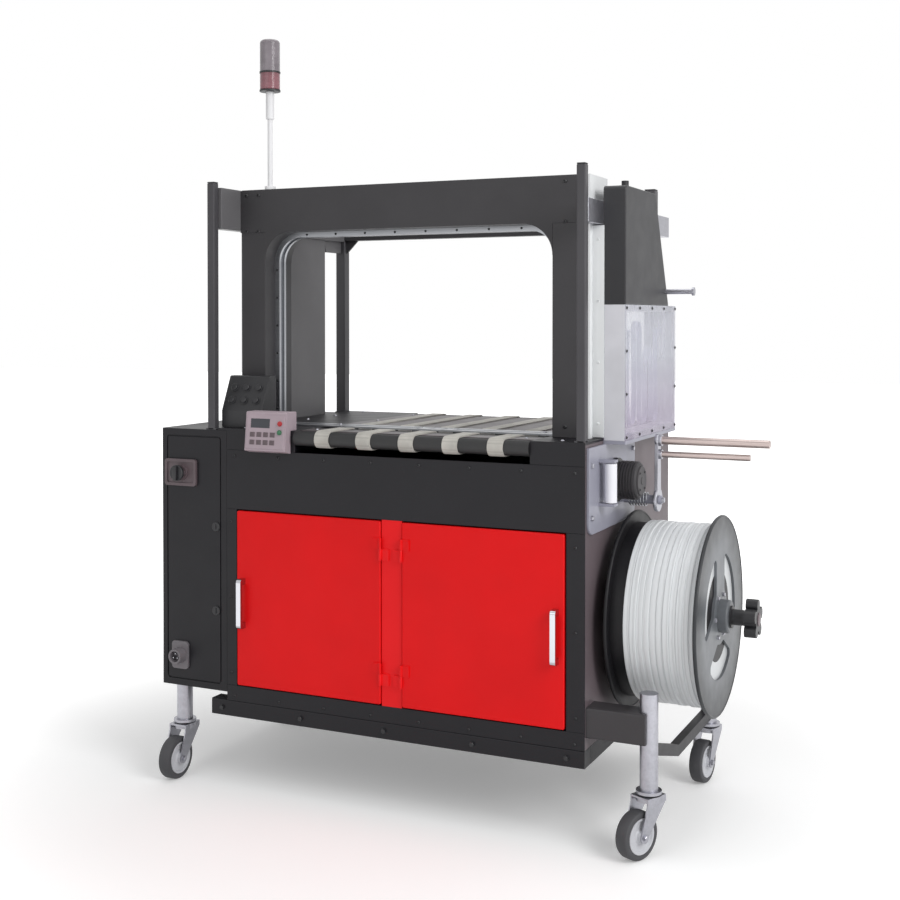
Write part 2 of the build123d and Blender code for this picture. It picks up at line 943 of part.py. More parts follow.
with BuildPart() as payoff_bars:
    for bar_z, bar_end, bar_radius in (
        (upper_bar_z, upper_bar_end, upper_bar_radius),
        (lower_bar_z, lower_bar_end, lower_bar_radius),
    ):
        rod((lever_far, pivot_y, bar_z), (bar_end, pivot_y, bar_z), bar_radius)
        chamfer(payoff_bars.faces().sort_by(Axis.X)[-1].edges(), 1.5)
save(payoff_bars, "payoff_bars")

# Reel bearing on the right wall
with BuildPart() as reel_bearing:
    hub_from = cabinet_right + bearing_plate
    bearing_end = cabinet_right + bearing_depth
    rod((cabinet_right, reel_y, reel_z), (hub_from, reel_y, reel_z), bearing_plate_radius)
    rod((hub_from, reel_y, reel_z), (bearing_end, reel_y, reel_z), bearing_radius)
    rod(
        (cabinet_right + bearing_floor, reel_y, reel_z),
        (bearing_end, reel_y, reel_z),
        shaft_radius + running_gap,
        mode=Mode.SUBTRACT,
    )
save(reel_bearing, "reel_bearing")

with BuildPart() as reel_shaft:
    shaft_from = cabinet_right + bearing_floor + 0.5
    rod((shaft_from, reel_y, reel_z), (knob_at + knob_washer, reel_y, reel_z), shaft_radius)
save(reel_shaft, "reel_shaft")

# Reel: the inner flange carries the drum, and the outer flange comes off with the knob
with BuildPart() as reel_inner_flange:
    rod(
        (inner_flange_at, reel_y, reel_z),
        (inner_flange_at + flange_thickness, reel_y, reel_z),
        flange_radius,
    )
    chamfer(reel_inner_flange.edges().filter_by(GeomType.CIRCLE), 1.5)
    rod(
        (inner_flange_at + flange_thickness, reel_y, reel_z),
        (coil_near, reel_y, reel_z),
        cheek_radius,
    )
    rod((coil_near, reel_y, reel_z), (outer_flange_at, reel_y, reel_z), core_radius)
    rod(
        (inner_flange_at, reel_y, reel_z),
        (outer_flange_at, reel_y, reel_z),
        shaft_radius,
        mode=Mode.SUBTRACT,
    )
save(reel_inner_flange, "reel_inner_flange")

with BuildPart() as reel_outer_flange:
    rod(
        (outer_flange_at, reel_y, reel_z),
        (outer_flange_at + flange_thickness, reel_y, reel_z),
        flange_radius,
    )
    chamfer(reel_outer_flange.edges().filter_by(GeomType.CIRCLE), 1.5)
    window_plane = Plane(origin=(outer_flange_at, reel_y, reel_z), x_dir=(0, 1, 0), z_dir=(1, 0, 0))
    with BuildSketch(window_plane) as flange_windows:
        Circle(window_outer)
        Circle(window_inner, mode=Mode.SUBTRACT)
        with PolarLocations((window_inner + window_outer) / 2, 3, start_angle=90):
            Rectangle(2 * (window_outer - window_inner), spoke_width, mode=Mode.SUBTRACT)
        fillet(flange_windows.vertices(), window_corner)
    extrude(amount=flange_thickness, mode=Mode.SUBTRACT)
    rod(
        (outer_flange_at + flange_thickness, reel_y, reel_z),
        (knob_at, reel_y, reel_z),
        outer_hub_radius,
    )
    fillet(reel_outer_flange.faces().sort_by(Axis.X)[-1].edges(), 5.0)
    rod(
        (outer_flange_at, reel_y, reel_z),
        (knob_at, reel_y, reel_z),
        shaft_radius,
        mode=Mode.SUBTRACT,
    )
save(reel_outer_flange, "reel_outer_flange")

with BuildPart() as strap_coil:
    rod((coil_near, reel_y, reel_z), (outer_flange_at, reel_y, reel_z), winding_radius)
    rod(
        (coil_near, reel_y, reel_z),
        (outer_flange_at, reel_y, reel_z),
        core_radius,
        mode=Mode.SUBTRACT,
    )
save(strap_coil, "strap_coil")

with BuildPart() as reel_knob:
    neck_from = knob_at + knob_washer
    grip_from = knob_end - knob_grip
    rod((neck_from, reel_y, reel_z), (grip_from, reel_y, reel_z), knob_neck_radius)
    knob_plane = Plane(origin=(grip_from, reel_y, reel_z), x_dir=(0, 1, 0), z_dir=(1, 0, 0))
    with BuildSketch(knob_plane):
        Circle(knob_middle_radius)
        with PolarLocations(knob_radius - knob_lobe, knob_lobes, start_angle=90):
            Circle(knob_lobe)
    extrude(amount=knob_grip)
    rod((knob_at, reel_y, reel_z), (neck_from, reel_y, reel_z), knob_washer_radius)
    rod(
        (knob_at, reel_y, reel_z),
        (neck_from, reel_y, reel_z),
        shaft_radius,
        mode=Mode.SUBTRACT,
    )
save(reel_knob, "reel_knob")

# Outrigger under the reel: two arms, with the caster tubes let into their ends
with BuildPart() as outrigger_arms:
    arm_top = arm_bottom + arm_height
    for row in (caster_row_front, caster_row_back):
        block(
            (cabinet_right, row - arm_width / 2, arm_bottom),
            (caster_right, row + arm_width / 2, arm_top),
        )
    fillet(outrigger_arms.edges().filter_by(Axis.X), 4.0)
    for row in (caster_row_front, caster_row_back):
        rod(
            (caster_right, row, arm_bottom),
            (caster_right, row, arm_top),
            stem_radius,
            mode=Mode.SUBTRACT,
        )
save(outrigger_arms, "outrigger_arms")

# Tie between the two caster tubes, bent down to pass under the reel
with BuildPart() as outrigger_tie:
    with BuildSketch(Plane.YZ.offset(caster_right - tie_width / 2)):
        with BuildLine():
            Polyline(
                (caster_row_front, tie_high),
                (tie_bend, tie_low),
                (caster_row_back, tie_low),
                (caster_row_back, tie_low + tie_height),
                (tie_bend, tie_low + tie_height),
                (caster_row_front, tie_high + tie_height),
                close=True,
            )
        make_face()
    extrude(amount=tie_width)
    for row in (caster_row_front, caster_row_back):
        rod(
            (caster_right, row, tie_low),
            (caster_right, row, tie_high + tie_height),
            stem_radius,
            mode=Mode.SUBTRACT,
        )
save(outrigger_tie, "outrigger_tie")

# Casters: fixed stems, swivelling forks and wheels
with BuildPart() as caster_stems:
    stem_low = fork_top + stem_gap
    for stem_x, stem_y, _, stem_top in casters.values():
        rod((stem_x, stem_y, stem_low), (stem_x, stem_y, stem_top), stem_radius)
        rod((stem_x, stem_y, stem_low), (stem_x, stem_y, stem_low + stem_flange), race_radius)
        rod((stem_x, stem_y, fork_top - kingpin_reach), (stem_x, stem_y, stem_low), kingpin_radius)
save(caster_stems, "caster_stems")

fork_inner = hub_width / 2 + fork_slack
fork_outer = fork_inner + fork_sheet
plate_low = fork_top - fork_plate
for place, (stem_x, stem_y, turn, _) in casters.items():
    turn_angle = math.radians(turn)
    upright = Plane(
        origin=(stem_x, stem_y, 0),
        x_dir=(math.cos(turn_angle), math.sin(turn_angle), 0),
        z_dir=(math.sin(turn_angle), -math.cos(turn_angle), 0),
    )
    with BuildPart() as fork:
        for cheek_from in (fork_inner, -fork_outer):
            with BuildSketch(upright.offset(cheek_from)):
                with BuildLine():
                    Polyline(
                        (fork_back, plate_low),
                        (fork_front, plate_low),
                        (fork_front, fork_top - fork_front_drop),
                        (caster_trail + fork_foot, wheel_radius),
                        (caster_trail - fork_foot, wheel_radius),
                        (fork_back, fork_top - fork_back_drop),
                        close=True,
                    )
                make_face()
                with Locations((caster_trail, wheel_radius)):
                    Circle(fork_foot)
                    Circle(axle_radius + running_gap, mode=Mode.SUBTRACT)
            extrude(amount=fork_sheet)
        with BuildSketch(upright.offset(-fork_outer)):
            with Locations(((fork_back + fork_front) / 2, plate_low + fork_plate / 2)):
                Rectangle(fork_front - fork_back, fork_plate)
        extrude(amount=2 * fork_outer)
        with BuildSketch(Plane((stem_x, stem_y, fork_top - race_height))):
            Circle(race_radius)
        extrude(amount=race_height)
        with BuildSketch(Plane((stem_x, stem_y, fork_top - race_height))):
            Circle(kingpin_radius + running_gap)
        extrude(amount=race_height, mode=Mode.SUBTRACT)
    save(fork, f"caster_fork_{place}")

    with BuildPart() as wheel:
        wheel_plane = Plane(
            origin=upright.from_local_coords((caster_trail, wheel_radius, 0)),
            x_dir=upright.x_dir,
            z_dir=upright.z_dir,
        )
        with BuildSketch(wheel_plane.offset(-wheel_width / 2)):
            Circle(wheel_radius)
        extrude(amount=wheel_width)
        fillet(wheel.edges().filter_by(GeomType.CIRCLE), tread_round)
        for face_at, inward in ((wheel_width / 2, -wheel_dish), (-wheel_width / 2, wheel_dish)):
            with BuildSketch(wheel_plane.offset(face_at)):
                Circle(wheel_dish_radius)
                Circle(wheel_boss_radius, mode=Mode.SUBTRACT)
            extrude(amount=inward, mode=Mode.SUBTRACT)
        with BuildSketch(wheel_plane.offset(-hub_width / 2)):
            Circle(hub_radius)
        extrude(amount=hub_width)
        with BuildSketch(wheel_plane.offset(-fork_outer)):
            Circle(axle_radius)
        extrude(amount=2 * fork_outer)
    save(wheel, f"caster_wheel_{place}")

# Signal tower on the arch
with BuildPart() as signal_pole:
    foot_top = beam_top + pole_foot
    rod((tower_x, tower_y, beam_top), (tower_x, tower_y, foot_top), pole_foot_radius)
    rod((tower_x, tower_y, foot_top), (tower_x, tower_y, tower_neck), pole_radius)
    rod((tower_x, tower_y, tower_neck), (tower_x, tower_y, lamp_bottom), neck_radius)
    fillet(signal_pole.faces().sort_by(Axis.Z)[-1].edges(), 2.0)
save(signal_pole, "signal_pole")

with BuildPart() as signal_lamp_red:
    rod((tower_x, tower_y, lamp_bottom), (tower_x, tower_y, lamp_split), lamp_radius)
    chamfer(signal_lamp_red.edges().filter_by(GeomType.CIRCLE).sort_by(Axis.Z)[0], 4.0)
save(signal_lamp_red, "signal_lamp_red")

with BuildPart() as signal_lamp_upper:
    rod((tower_x, tower_y, lamp_split), (tower_x, tower_y, lamp_top), lamp_radius)
    fillet(signal_lamp_upper.edges().filter_by(GeomType.CIRCLE).sort_by(Axis.Z)[-1], 8.0)
save(signal_lamp_upper, "signal_lamp_upper")
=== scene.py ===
import json
import math
import random

import bmesh
import bpy
from mathutils import Matrix, Vector


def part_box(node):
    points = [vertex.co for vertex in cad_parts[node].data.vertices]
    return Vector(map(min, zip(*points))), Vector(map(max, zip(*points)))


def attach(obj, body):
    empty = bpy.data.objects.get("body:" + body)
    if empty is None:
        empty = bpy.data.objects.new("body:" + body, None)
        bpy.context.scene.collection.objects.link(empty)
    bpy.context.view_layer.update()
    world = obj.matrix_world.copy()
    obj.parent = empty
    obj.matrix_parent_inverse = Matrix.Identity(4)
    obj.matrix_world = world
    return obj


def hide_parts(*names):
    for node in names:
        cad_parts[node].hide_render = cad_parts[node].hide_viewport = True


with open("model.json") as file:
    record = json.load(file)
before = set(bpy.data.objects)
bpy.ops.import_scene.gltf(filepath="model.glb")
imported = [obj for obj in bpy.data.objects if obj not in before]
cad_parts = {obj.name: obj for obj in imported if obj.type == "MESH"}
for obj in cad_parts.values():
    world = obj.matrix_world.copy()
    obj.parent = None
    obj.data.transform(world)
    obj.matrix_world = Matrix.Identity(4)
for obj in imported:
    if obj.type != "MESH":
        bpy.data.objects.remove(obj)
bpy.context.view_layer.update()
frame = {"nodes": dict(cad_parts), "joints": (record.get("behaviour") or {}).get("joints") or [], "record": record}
nodes = frame["nodes"]
random.seed(7)

# The scene is in metres, in the frame of the part. Sizes are written in millimetres times MM.
# Profiles and lists of places are in millimetres, and metres() turns them into metres.
MM = 0.001
RIGHT = Vector((1, 0, 0))
REAR = Vector((0, 1, 0))
UP = Vector((0, 0, 1))
FRONT = -REAR
CASTERS = ("front_left", "front_right", "rear_left", "rear_right")


def span(node):
    """Lowest corner, highest corner and centre of a CAD node."""
    low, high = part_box(node)
    return low, high, (low + high) / 2


def spread(first, last, count):
    """Evenly spaced values from first to last, both included."""
    return [first + (last - first) * step / (count - 1) for step in range(count)]


def circle(count, radius, start=0.0):
    """Evenly spaced places on a circle, as (across, up), from an angle in degrees."""
    angles = [math.radians(start) + math.tau * step / count for step in range(count)]
    return [(radius * math.cos(angle), radius * math.sin(angle)) for angle in angles]


def scaled(places, size):
    """Places or a profile, with every value multiplied by a size."""
    return [tuple(value * size for value in place) for place in places]


def metres(places):
    """Places or a profile in millimetres, made into metres."""
    return scaled(places, MM)


# Driving places, from the frame

REEL_LOW, REEL_HIGH, REEL_CENTRE = span("reel_inner_flange")
FLANGE_RADIUS = (REEL_HIGH.z - REEL_LOW.z) / 2
STORE_LOW, STORE_HIGH, STORE_CENTRE = span("store_frame")
TABLE_LOW, TABLE_HIGH, _ = span("table_ends")
BRACKET_LOW, BRACKET_HIGH, _ = span("feed_bracket")
ARM_PIVOT_Y, ARM_PIVOT_Z = -37 * MM, 705 * MM


# Colours


GAMMA = 2.2


def srgb(red, green, blue):
    """Linear colour of an sRGB colour given as 0 to 255."""
    return tuple((value / 255) ** GAMMA for value in (red, green, blue)) + (1.0,)


def grey(level):
    """A grey of one linear level, also used as the weight of a mask."""
    return (level, level, level, 1.0)


def shade(colour, factor):
    """A darker or lighter shade of a colour."""
    return tuple(min(1.0, value * factor) for value in colour[:3]) + (1.0,)


WHITE = grey(1.0)
BLACK = srgb(28, 27, 31)
FRAME_GREY = srgb(62, 61, 63)
POST_GREY = srgb(74, 73, 76)
RED = srgb(230, 20, 24)
STRAP_WHITE = srgb(218, 221, 223)
SEAM_DARK = srgb(12, 12, 13)


# Materials: every noise and wave lies on the piece's own place, with its scale for each metre


class NodeTree:
    """A node tree under construction, with short ways to add and link nodes."""

    def __init__(self, tree):
        self.tree = tree

    def add(self, kind, **values):
        node = self.tree.nodes.new(kind)
        for key, value in values.items():
            setattr(node, key, value)
        return node

    def link(self, source, target):
        self.tree.links.new(source, target)

    def fill(self, node, **values):
        """Sets inputs of a node by name, with _ for a space. A linked value is linked."""
        for key, value in values.items():
            target = node.inputs[key.replace("_", " ")]
            if isinstance(value, bpy.types.NodeSocket):
                self.link(value, target)
            else:
                target.default_value = value

    def range(self, value, low, high, start=0.0, end=1.0, kind="LINEAR"):
        """A value of start to end, spread from low to high."""
        spread_node = self.add("ShaderNodeMapRange", interpolation_type=kind)
        self.fill(spread_node, Value=value, From_Min=start, From_Max=end, To_Min=low, To_Max=high)
        return spread_node.outputs["Result"]

    def maths(self, operation, *values):
        """A maths node over links and numbers."""
        node = self.add("ShaderNodeMath", operation=operation)
        for target, value in zip(node.inputs, values):
            if isinstance(value, (int, float)):
                target.default_value = value
            else:
                self.link(value, target)
        return node.outputs["Value"]

    def seen(self):
        """1 on rays from the camera, off glossy surfaces and through clear ones, else 0."""
        rays = self.add("ShaderNodeLightPath").outputs
        direct = self.maths("MAXIMUM", rays["Is Camera Ray"], rays["Is Transmission Ray"])
        return self.maths("MAXIMUM", direct, rays["Is Glossy Ray"])


class Finish(NodeTree):
    """A material under construction."""

    def __init__(self, name):
        self.material = bpy.data.materials.new(name)
        self.material.use_nodes = True
        super().__init__(self.material.node_tree)
        self.shader = self.tree.nodes["Principled BSDF"]
        self.place = self.add("ShaderNodeTexCoord").outputs["Object"]

    def noise(self, scale, detail=3.0, roughness=0.5, stretch=(1, 1, 1)):
        mapping = self.add("ShaderNodeMapping")
        self.fill(mapping, Vector=self.place, Scale=stretch)
        texture = self.add("ShaderNodeTexNoise")
        place = mapping.outputs["Vector"]
        self.fill(texture, Vector=place, Scale=scale, Detail=detail, Roughness=roughness)
        return texture.outputs["Fac"]

    def waves(self, axis, scale, **inputs):
        """Bands that follow each other along an axis."""
        texture = self.add("ShaderNodeTexWave", bands_direction=axis)
        self.fill(texture, Vector=self.place, Scale=scale, **inputs)
        return texture.outputs["Fac"]

    def ramp(self, value, *stops):
        """A colour ramp over a value. Stops are (position, colour)."""
        ramp = self.add("ShaderNodeValToRGB")
        steps = ramp.color_ramp.elements
        while len(steps) < len(stops):
            steps.new(0.5)
        for step, (position, colour) in zip(steps, stops):
            step.position = position
            step.color = colour
        self.link(value, ramp.inputs["Fac"])
        return ramp.outputs["Color"]

    def cloudy(self, value, colour, darker, lighter):
        """A colour that wanders with a value. Both shades are (position, factor)."""
        return self.ramp(value, *((at, shade(colour, factor)) for at, factor in (darker, lighter)))

    def mix(self, factor, first, second):
        """First colour or link, mixed with the second by a linked factor."""
        mix = self.add("ShaderNodeMix", data_type="RGBA")
        self.fill(mix, Factor=factor)
        for source, target in ((first, mix.inputs["A"]), (second, mix.inputs["B"])):
            if isinstance(source, tuple):
                target.default_value = source
            else:
                self.link(source, target)
        return mix.outputs["Result"]

    def axes(self):
        """The three values of the piece's own place."""
        split = self.add("ShaderNodeSeparateXYZ")
        self.link(self.place, split.inputs[0])
        return split.outputs

    def rectangle(self, across, up, low, high):
        """1 inside a rectangle, between two corners in millimetres, else 0."""
        sides = []
        for value, start, end in ((across, low[0], high[0]), (up, low[1], high[1])):
            middle, half = (start + end) / 2 * MM, (end - start) / 2 * MM
            sides.append(self.maths("COMPARE", value, middle, half))
        return self.maths("MULTIPLY", *sides)

    def seam(self, across, up, low, high, width):
        """1 on a line just inside a rectangle."""
        inner_low = [value + width for value in low]
        inner_high = [value - width for value in high]
        inner = self.rectangle(across, up, inner_low, inner_high)
        return self.maths("SUBTRACT", self.rectangle(across, up, low, high), inner)

    def off_axis(self, centre):
        """Distance of the piece's own place from a line along X through a centre."""
        _, y, z = self.axes()
        offsets = (self.maths("SUBTRACT", y, centre.y), self.maths("SUBTRACT", z, centre.z))
        squares = [self.maths("POWER", offset, 2.0) for offset in offsets]
        return self.maths("SQRT", self.maths("ADD", *squares))

    def bump(self, height, strength, distance):
        bump = self.add("ShaderNodeBump")
        self.fill(bump, Height=height, Strength=strength, Distance=distance)
        self.fill(self.shader, Normal=bump.outputs["Normal"])

    def set(self, **values):
        """Sets or links inputs of the shader."""
        self.fill(self.shader, **values)


def painted(name, colour, rough=0.42, grain=0.10, dust=0.10, coat=0.0, gloss=0.28, marks=None):
    """Powder-coated sheet: a fine orange-peel skin, a cloudy tone and a little dust.

    Marks is a function that gives a mask of dark lines.
    """
    made = Finish(name)
    clouds = made.noise(5.0, detail=5.0)
    surface = made.cloudy(clouds, colour, (0.32, 1 - grain), (0.68, 1 + grain))
    specks = made.ramp(made.noise(160.0, detail=4.0), (0.60, grey(0.0)), (0.82, grey(dust)))
    dust_colour = tuple(value + 0.05 for value in shade(colour, 1.5)[:3]) + (1.0,)
    surface = made.mix(specks, surface, dust_colour)
    if marks:
        surface = made.mix(marks(made), surface, SEAM_DARK)
    roughness = made.range(made.noise(22.0), rough - 0.07, rough + 0.09)
    made.set(Base_Color=surface, Roughness=roughness)
    made.bump(made.noise(1400.0, detail=2.0), 0.10, 0.3 * MM)
    made.set(Coat_Weight=coat, Coat_Roughness=0.12, Specular_IOR_Level=gloss)
    return made.material


def metal(name, colour, rough, stretch=(1, 1, 1), grain=0.12):
    """Bare or plated metal with a brushed or cloudy surface."""
    made = Finish(name)
    brushed = made.noise(90.0, detail=6.0, roughness=0.7, stretch=stretch)
    surface = made.cloudy(brushed, colour, (0.30, 1 - grain), (0.72, 1 + grain))
    roughness = made.range(brushed, rough - 0.06, rough + 0.10)
    made.set(Base_Color=surface, Roughness=roughness, Metallic=1.0)
    made.bump(brushed, 0.12, 0.2 * MM)
    return made.material


def plastic(name, colour, rough=0.45):
    """Moulded plastic or rubber with a fine pebbled skin."""
    made = Finish(name)
    surface = made.cloudy(made.noise(14.0, detail=4.0), colour, (0.3, 0.94), (0.7, 1.06))
    roughness = made.range(made.noise(60.0), rough - 0.06, rough + 0.08)
    made.set(Base_Color=surface, Roughness=roughness)
    made.bump(made.noise(900.0, detail=1.0), 0.12, 0.3 * MM)
    return made.material


def ribbed(name, colour):
    """Belt rubber: fine ribs across its run, and a grey film where it has worn."""
    made = Finish(name)
    ribs = made.waves("Y", 60.0)
    worn = made.cloudy(made.noise(24.0, detail=5.0), colour, (0.35, 0.84), (0.65, 1.06))
    grooves = made.ramp(ribs, (0.0, grey(0.30)), (0.35, grey(0.0)))
    surface = made.mix(grooves, worn, shade(colour, 0.45))
    made.set(Base_Color=surface, Roughness=0.66, Specular_IOR_Level=0.3)
    made.bump(ribs, 0.35, 0.6 * MM)
    return made.material


def spun(name, colour, rim_colour):
    """Painted flange: a cloudy middle, darker towards the rim, with faint turned rings."""
    made = Finish(name)
    away = made.off_axis(REEL_CENTRE)
    share = made.maths("DIVIDE", away, FLANGE_RADIUS)
    clouds = made.cloudy(made.noise(9.0, detail=5.0), colour, (0.35, 0.80), (0.68, 1.22))
    rim = made.ramp(share, (0.66, grey(0.0)), (0.97, WHITE))
    roughness = made.range(made.noise(30.0), 0.34, 0.52)
    made.set(Base_Color=made.mix(rim, clouds, rim_colour), Roughness=roughness)
    made.bump(made.maths("SINE", made.maths("MULTIPLY", away, 2400.0)), 0.10, 0.3 * MM)
    made.set(Specular_IOR_Level=0.4)
    return made.material


COVER_SIDES = ((-493, -75), (-68, 350))
COVER_BOTTOM, COVER_TOP = 262, 790
SEAM_WIDTH = 2.4


def rear_seams(made):
    """Seams of the two covers in the back wall."""
    across, _, up = made.axes()
    seams = []
    for left, right in COVER_SIDES:
        low, high = (left, COVER_BOTTOM), (right, COVER_TOP)
        seams.append(made.seam(across, up, low, high, SEAM_WIDTH))
    return made.maths("MAXIMUM", *seams)


def lens(name, colour):
    """A ribbed, tinted lamp lens."""
    made = Finish(name)
    surface = made.cloudy(made.noise(30.0), colour, (0.3, 0.85), (0.7, 1.2))
    made.set(Base_Color=surface, Roughness=0.16, Transmission_Weight=0.35, IOR=1.49)
    made.bump(made.waves("Z", 90.0), 0.35, 0.6 * MM)
    return made.material


def clear(name, tint, bottom_colour):
    """A clear sheet: milky, streaky, and darker and more purple towards the bottom of the strap store."""
    made = Finish(name)
    haze = made.cloudy(made.noise(9.0, detail=5.0), tint, (0.35, 0.95), (0.7, 1.0))
    rise = made.maths("SUBTRACT", made.axes()[2], STORE_LOW.z)
    share = made.maths("DIVIDE", rise, STORE_HIGH.z - STORE_LOW.z)
    upper = made.ramp(share, (0.15, grey(0.0)), (0.60, WHITE))
    streaks = made.noise(6.0, detail=4.0, stretch=(1, 5, 0.6))
    roughness = made.range(made.noise(40.0), 0.05, 0.14)
    made.set(Base_Color=made.mix(upper, bottom_colour, haze), Roughness=roughness)
    made.set(Alpha=made.range(streaks, 0.24, 0.48), IOR=1.45, Specular_IOR_Level=0.5)
    return made.material


def wound(name, colour):
    """Strap wound on the reel: close turns that lie across the width."""
    made = Finish(name)
    turns = made.waves("X", 26.0, Distortion=1.2, Detail=2.0, Detail_Scale=1.4)
    dark = shade(colour, 0.86)
    strap = made.ramp(turns, (0.0, dark), (0.18, colour), (0.85, shade(colour, 1.05)))
    clouds = made.ramp(made.noise(7.0, detail=5.0), (0.35, grey(0.0)), (0.75, grey(0.35)))
    surface = made.mix(clouds, strap, dark)
    made.set(Base_Color=surface, Roughness=0.38, Specular_IOR_Level=0.5)
    made.bump(turns, 0.30, 1.0 * MM)
    return made.material


# Finishes named as the CAD's material slots
finishes = {
    "black_paint": painted("black_paint_mat", BLACK),
    "frame_paint": painted("frame_paint_mat", FRAME_GREY, rough=0.45),
    "post_paint": painted("post_paint_mat", POST_GREY, rough=0.40),
    "red_paint": painted(
        "red_paint_mat", RED, rough=0.40, grain=0.05, dust=0.02, coat=0.04, gloss=0.18
    ),
    "steel": metal("steel_mat", srgb(160, 162, 166), 0.34, stretch=(0.15, 4, 4)),
    "zinc": metal("zinc_mat", srgb(168, 168, 175), 0.36),
    "chrome": metal("chrome_mat", srgb(188, 189, 194), 0.14, grain=0.03),
    "belt": ribbed("belt_mat", srgb(198, 195, 188)),
    "light_plastic": plastic("light_plastic_mat", srgb(172, 156, 164), rough=0.48),
    "black_plastic": plastic("black_plastic_mat", srgb(34, 34, 37), rough=0.46),
    "nylon": plastic("nylon_mat", srgb(234, 234, 240), rough=0.40),
    "clear_sheet": clear("clear_sheet_mat", srgb(232, 234, 244), srgb(196, 184, 208)),
    "smoke_lens": lens("smoke_lens_mat", srgb(142, 134, 140)),
    "red_lens": lens("red_lens_mat", srgb(152, 102, 110)),
    "flange_black": painted("flange_black_mat", srgb(24, 23, 26), rough=0.48),
    "flange_grey": spun("flange_grey_mat", srgb(98, 101, 105), srgb(44, 46, 49)),
    "strap": wound("strap_mat", STRAP_WHITE),
    "bar_steel": metal("bar_steel_mat", srgb(178, 164, 160), 0.30, stretch=(0.2, 5, 5)),
    "tyre": plastic("tyre_mat", srgb(70, 70, 73), rough=0.62),
}
# Finishes of single nodes and small parts
extra_finishes = {
    "red_button": plastic("red_button_mat", srgb(176, 48, 52), rough=0.36),
    "green_button": plastic("green_button_mat", srgb(58, 112, 80), rough=0.36),
    "display": plastic("display_mat", srgb(60, 62, 68), rough=0.20),
    "hub_grey": plastic("hub_grey_mat", srgb(198, 199, 204), rough=0.42),
    "folded_strap": plastic("folded_strap_mat", srgb(208, 208, 226), rough=0.40),
    "roller_dark": plastic("roller_dark_mat", srgb(33, 33, 34), rough=0.50),
    "bed_grey": painted("bed_grey_mat", srgb(86, 80, 82), rough=0.40),
    "switch_grey": plastic("switch_grey_mat", srgb(94, 82, 86), rough=0.45),
    "inlet_grey": plastic("inlet_grey_mat", srgb(112, 108, 112), rough=0.45),
    "store_white": plastic("store_white_mat", srgb(210, 210, 216), rough=0.42),
    # The centre post is red paint like the doors; its lighter red is a painted highlight of the bright band
    # between the doors
    "highlit_post_red": painted(
        "highlit_post_red_mat", srgb(240, 34, 38), rough=0.40, grain=0.04, dust=0.02, gloss=0.18
    ),
    "plate_white": painted("plate_white_mat", srgb(224, 226, 227), rough=0.36, grain=0.04),
    "panel_grey": painted("panel_grey_mat", srgb(104, 103, 105), rough=0.40),
    "wall_grey": painted("wall_grey_mat", srgb(98, 88, 92), rough=0.44),
    "arm_grey": painted("arm_grey_mat", srgb(64, 62, 64), rough=0.44),
    "bracket_grey": painted("bracket_grey_mat", srgb(150, 150, 163), rough=0.34, grain=0.06),
    "cover_grey": painted("cover_grey_mat", srgb(56, 56, 58), rough=0.44),
    "pole_white": painted("pole_white_mat", srgb(236, 236, 238), rough=0.34, grain=0.03),
    "rear_black": painted("rear_black_mat", BLACK, marks=rear_seams),
}
all_finishes = {**finishes, **extra_finishes}


# CAD nodes: each takes its slot's finish or one of its own, and sheet edges are softened

slot_of = {part["node"]: part["material_slot"] for part in frame["record"]["subparts"]}
OWN_FINISH = {
    "table_rollers": "roller_dark",
    "table_beds": "bed_grey",
    "main_switch": "switch_grey",
    "power_inlet": "inlet_grey",
    "store_frame": "store_white",
    "arch_side_plate": "plate_white",
    "left_side_panel": "panel_grey",
    "left_side_rail": "panel_grey",
    "side_walls": "wall_grey",
    "outrigger_arms": "arm_grey",
    "feed_bracket": "bracket_grey",
    "signal_pole": "pole_white",
    "store_cover": "cover_grey",
    "back_wall": "rear_black",
    # the centre post's lighter red is a painted highlight
    "centre_post": "highlit_post_red",
}
# Width of the softened edge in millimetres, and the nodes that have it
SOFT_EDGES = {
    0.4: ("head_plate",),
    0.6: ("centre_post", "store_frame"),
    0.8: (
        "base_rails", "front_stiles", "door_sill", "control_cabinet", "control_console",
        "control_panel", "table_beds", "feed_bracket", "payoff_lever", "outrigger_tie",
        "back_wall", "side_walls",
    ),
    0.9: ("front_apron",),
    1.0: ("table_ends",),
    1.2: ("arch_legs", "left_side_rail", "right_side_rail", "rear_beam", "left_side_panel"),
}
WELD_REACH = 0.01 * MM
FLAT_ANGLE = math.radians(1.0)
SHARP_ANGLE = math.radians(40)


def soften(node, width):
    """Joins a node's flat facets and rounds its sharp edges."""
    node.modifiers.new("weld", "WELD").merge_threshold = WELD_REACH
    flatten = node.modifiers.new("flatten", "DECIMATE")
    flatten.decimate_type = "DISSOLVE"
    flatten.angle_limit = FLAT_ANGLE
    rounded = node.modifiers.new("round_edges", "BEVEL")
    rounded.width = width
    rounded.segments = 2
    rounded.limit_method = "ANGLE"
    rounded.angle_limit = SHARP_ANGLE
    rounded.harden_normals = True


for name, node in nodes.items():
    node.data.materials.clear()
    node.data.materials.append(all_finishes[OWN_FINISH.get(name, slot_of[name])])
for width, names in SOFT_EDGES.items():
    for name in names:
        soften(nodes[name], width * MM)


# Shapes

SMOOTH_ANGLE = math.radians(32)
# A ring with a radius under this is one point
POINT_RADIUS = 1e-7
# Profiles as (radius, reach), in sizes of the screw or of the bolt's thread
WASHER = ((1.05, 0), (1.05, 0.18))
HEX_HEAD = ((0.92, 0.18), (0.92, 0.72), (0.78, 0.85))
SCREW_DOME = [(math.cos(angle), 0.12 + 0.55 * math.sin(angle)) for angle in (0.33, 0.66, 0.99)]
SCREW_HEAD = [(1, 0), (1, 0.12), *SCREW_DOME, (0.48, 0.66), (0.46, 0.24), (0, 0.20)]


def frame_of(axis):
    """An axis of unit length and two directions square to it."""
    along = axis.normalized()
    side = UP if abs(along.z) < 0.9 else RIGHT
    first = along.cross(side).normalized()
    return along, first, along.cross(first).normalized()


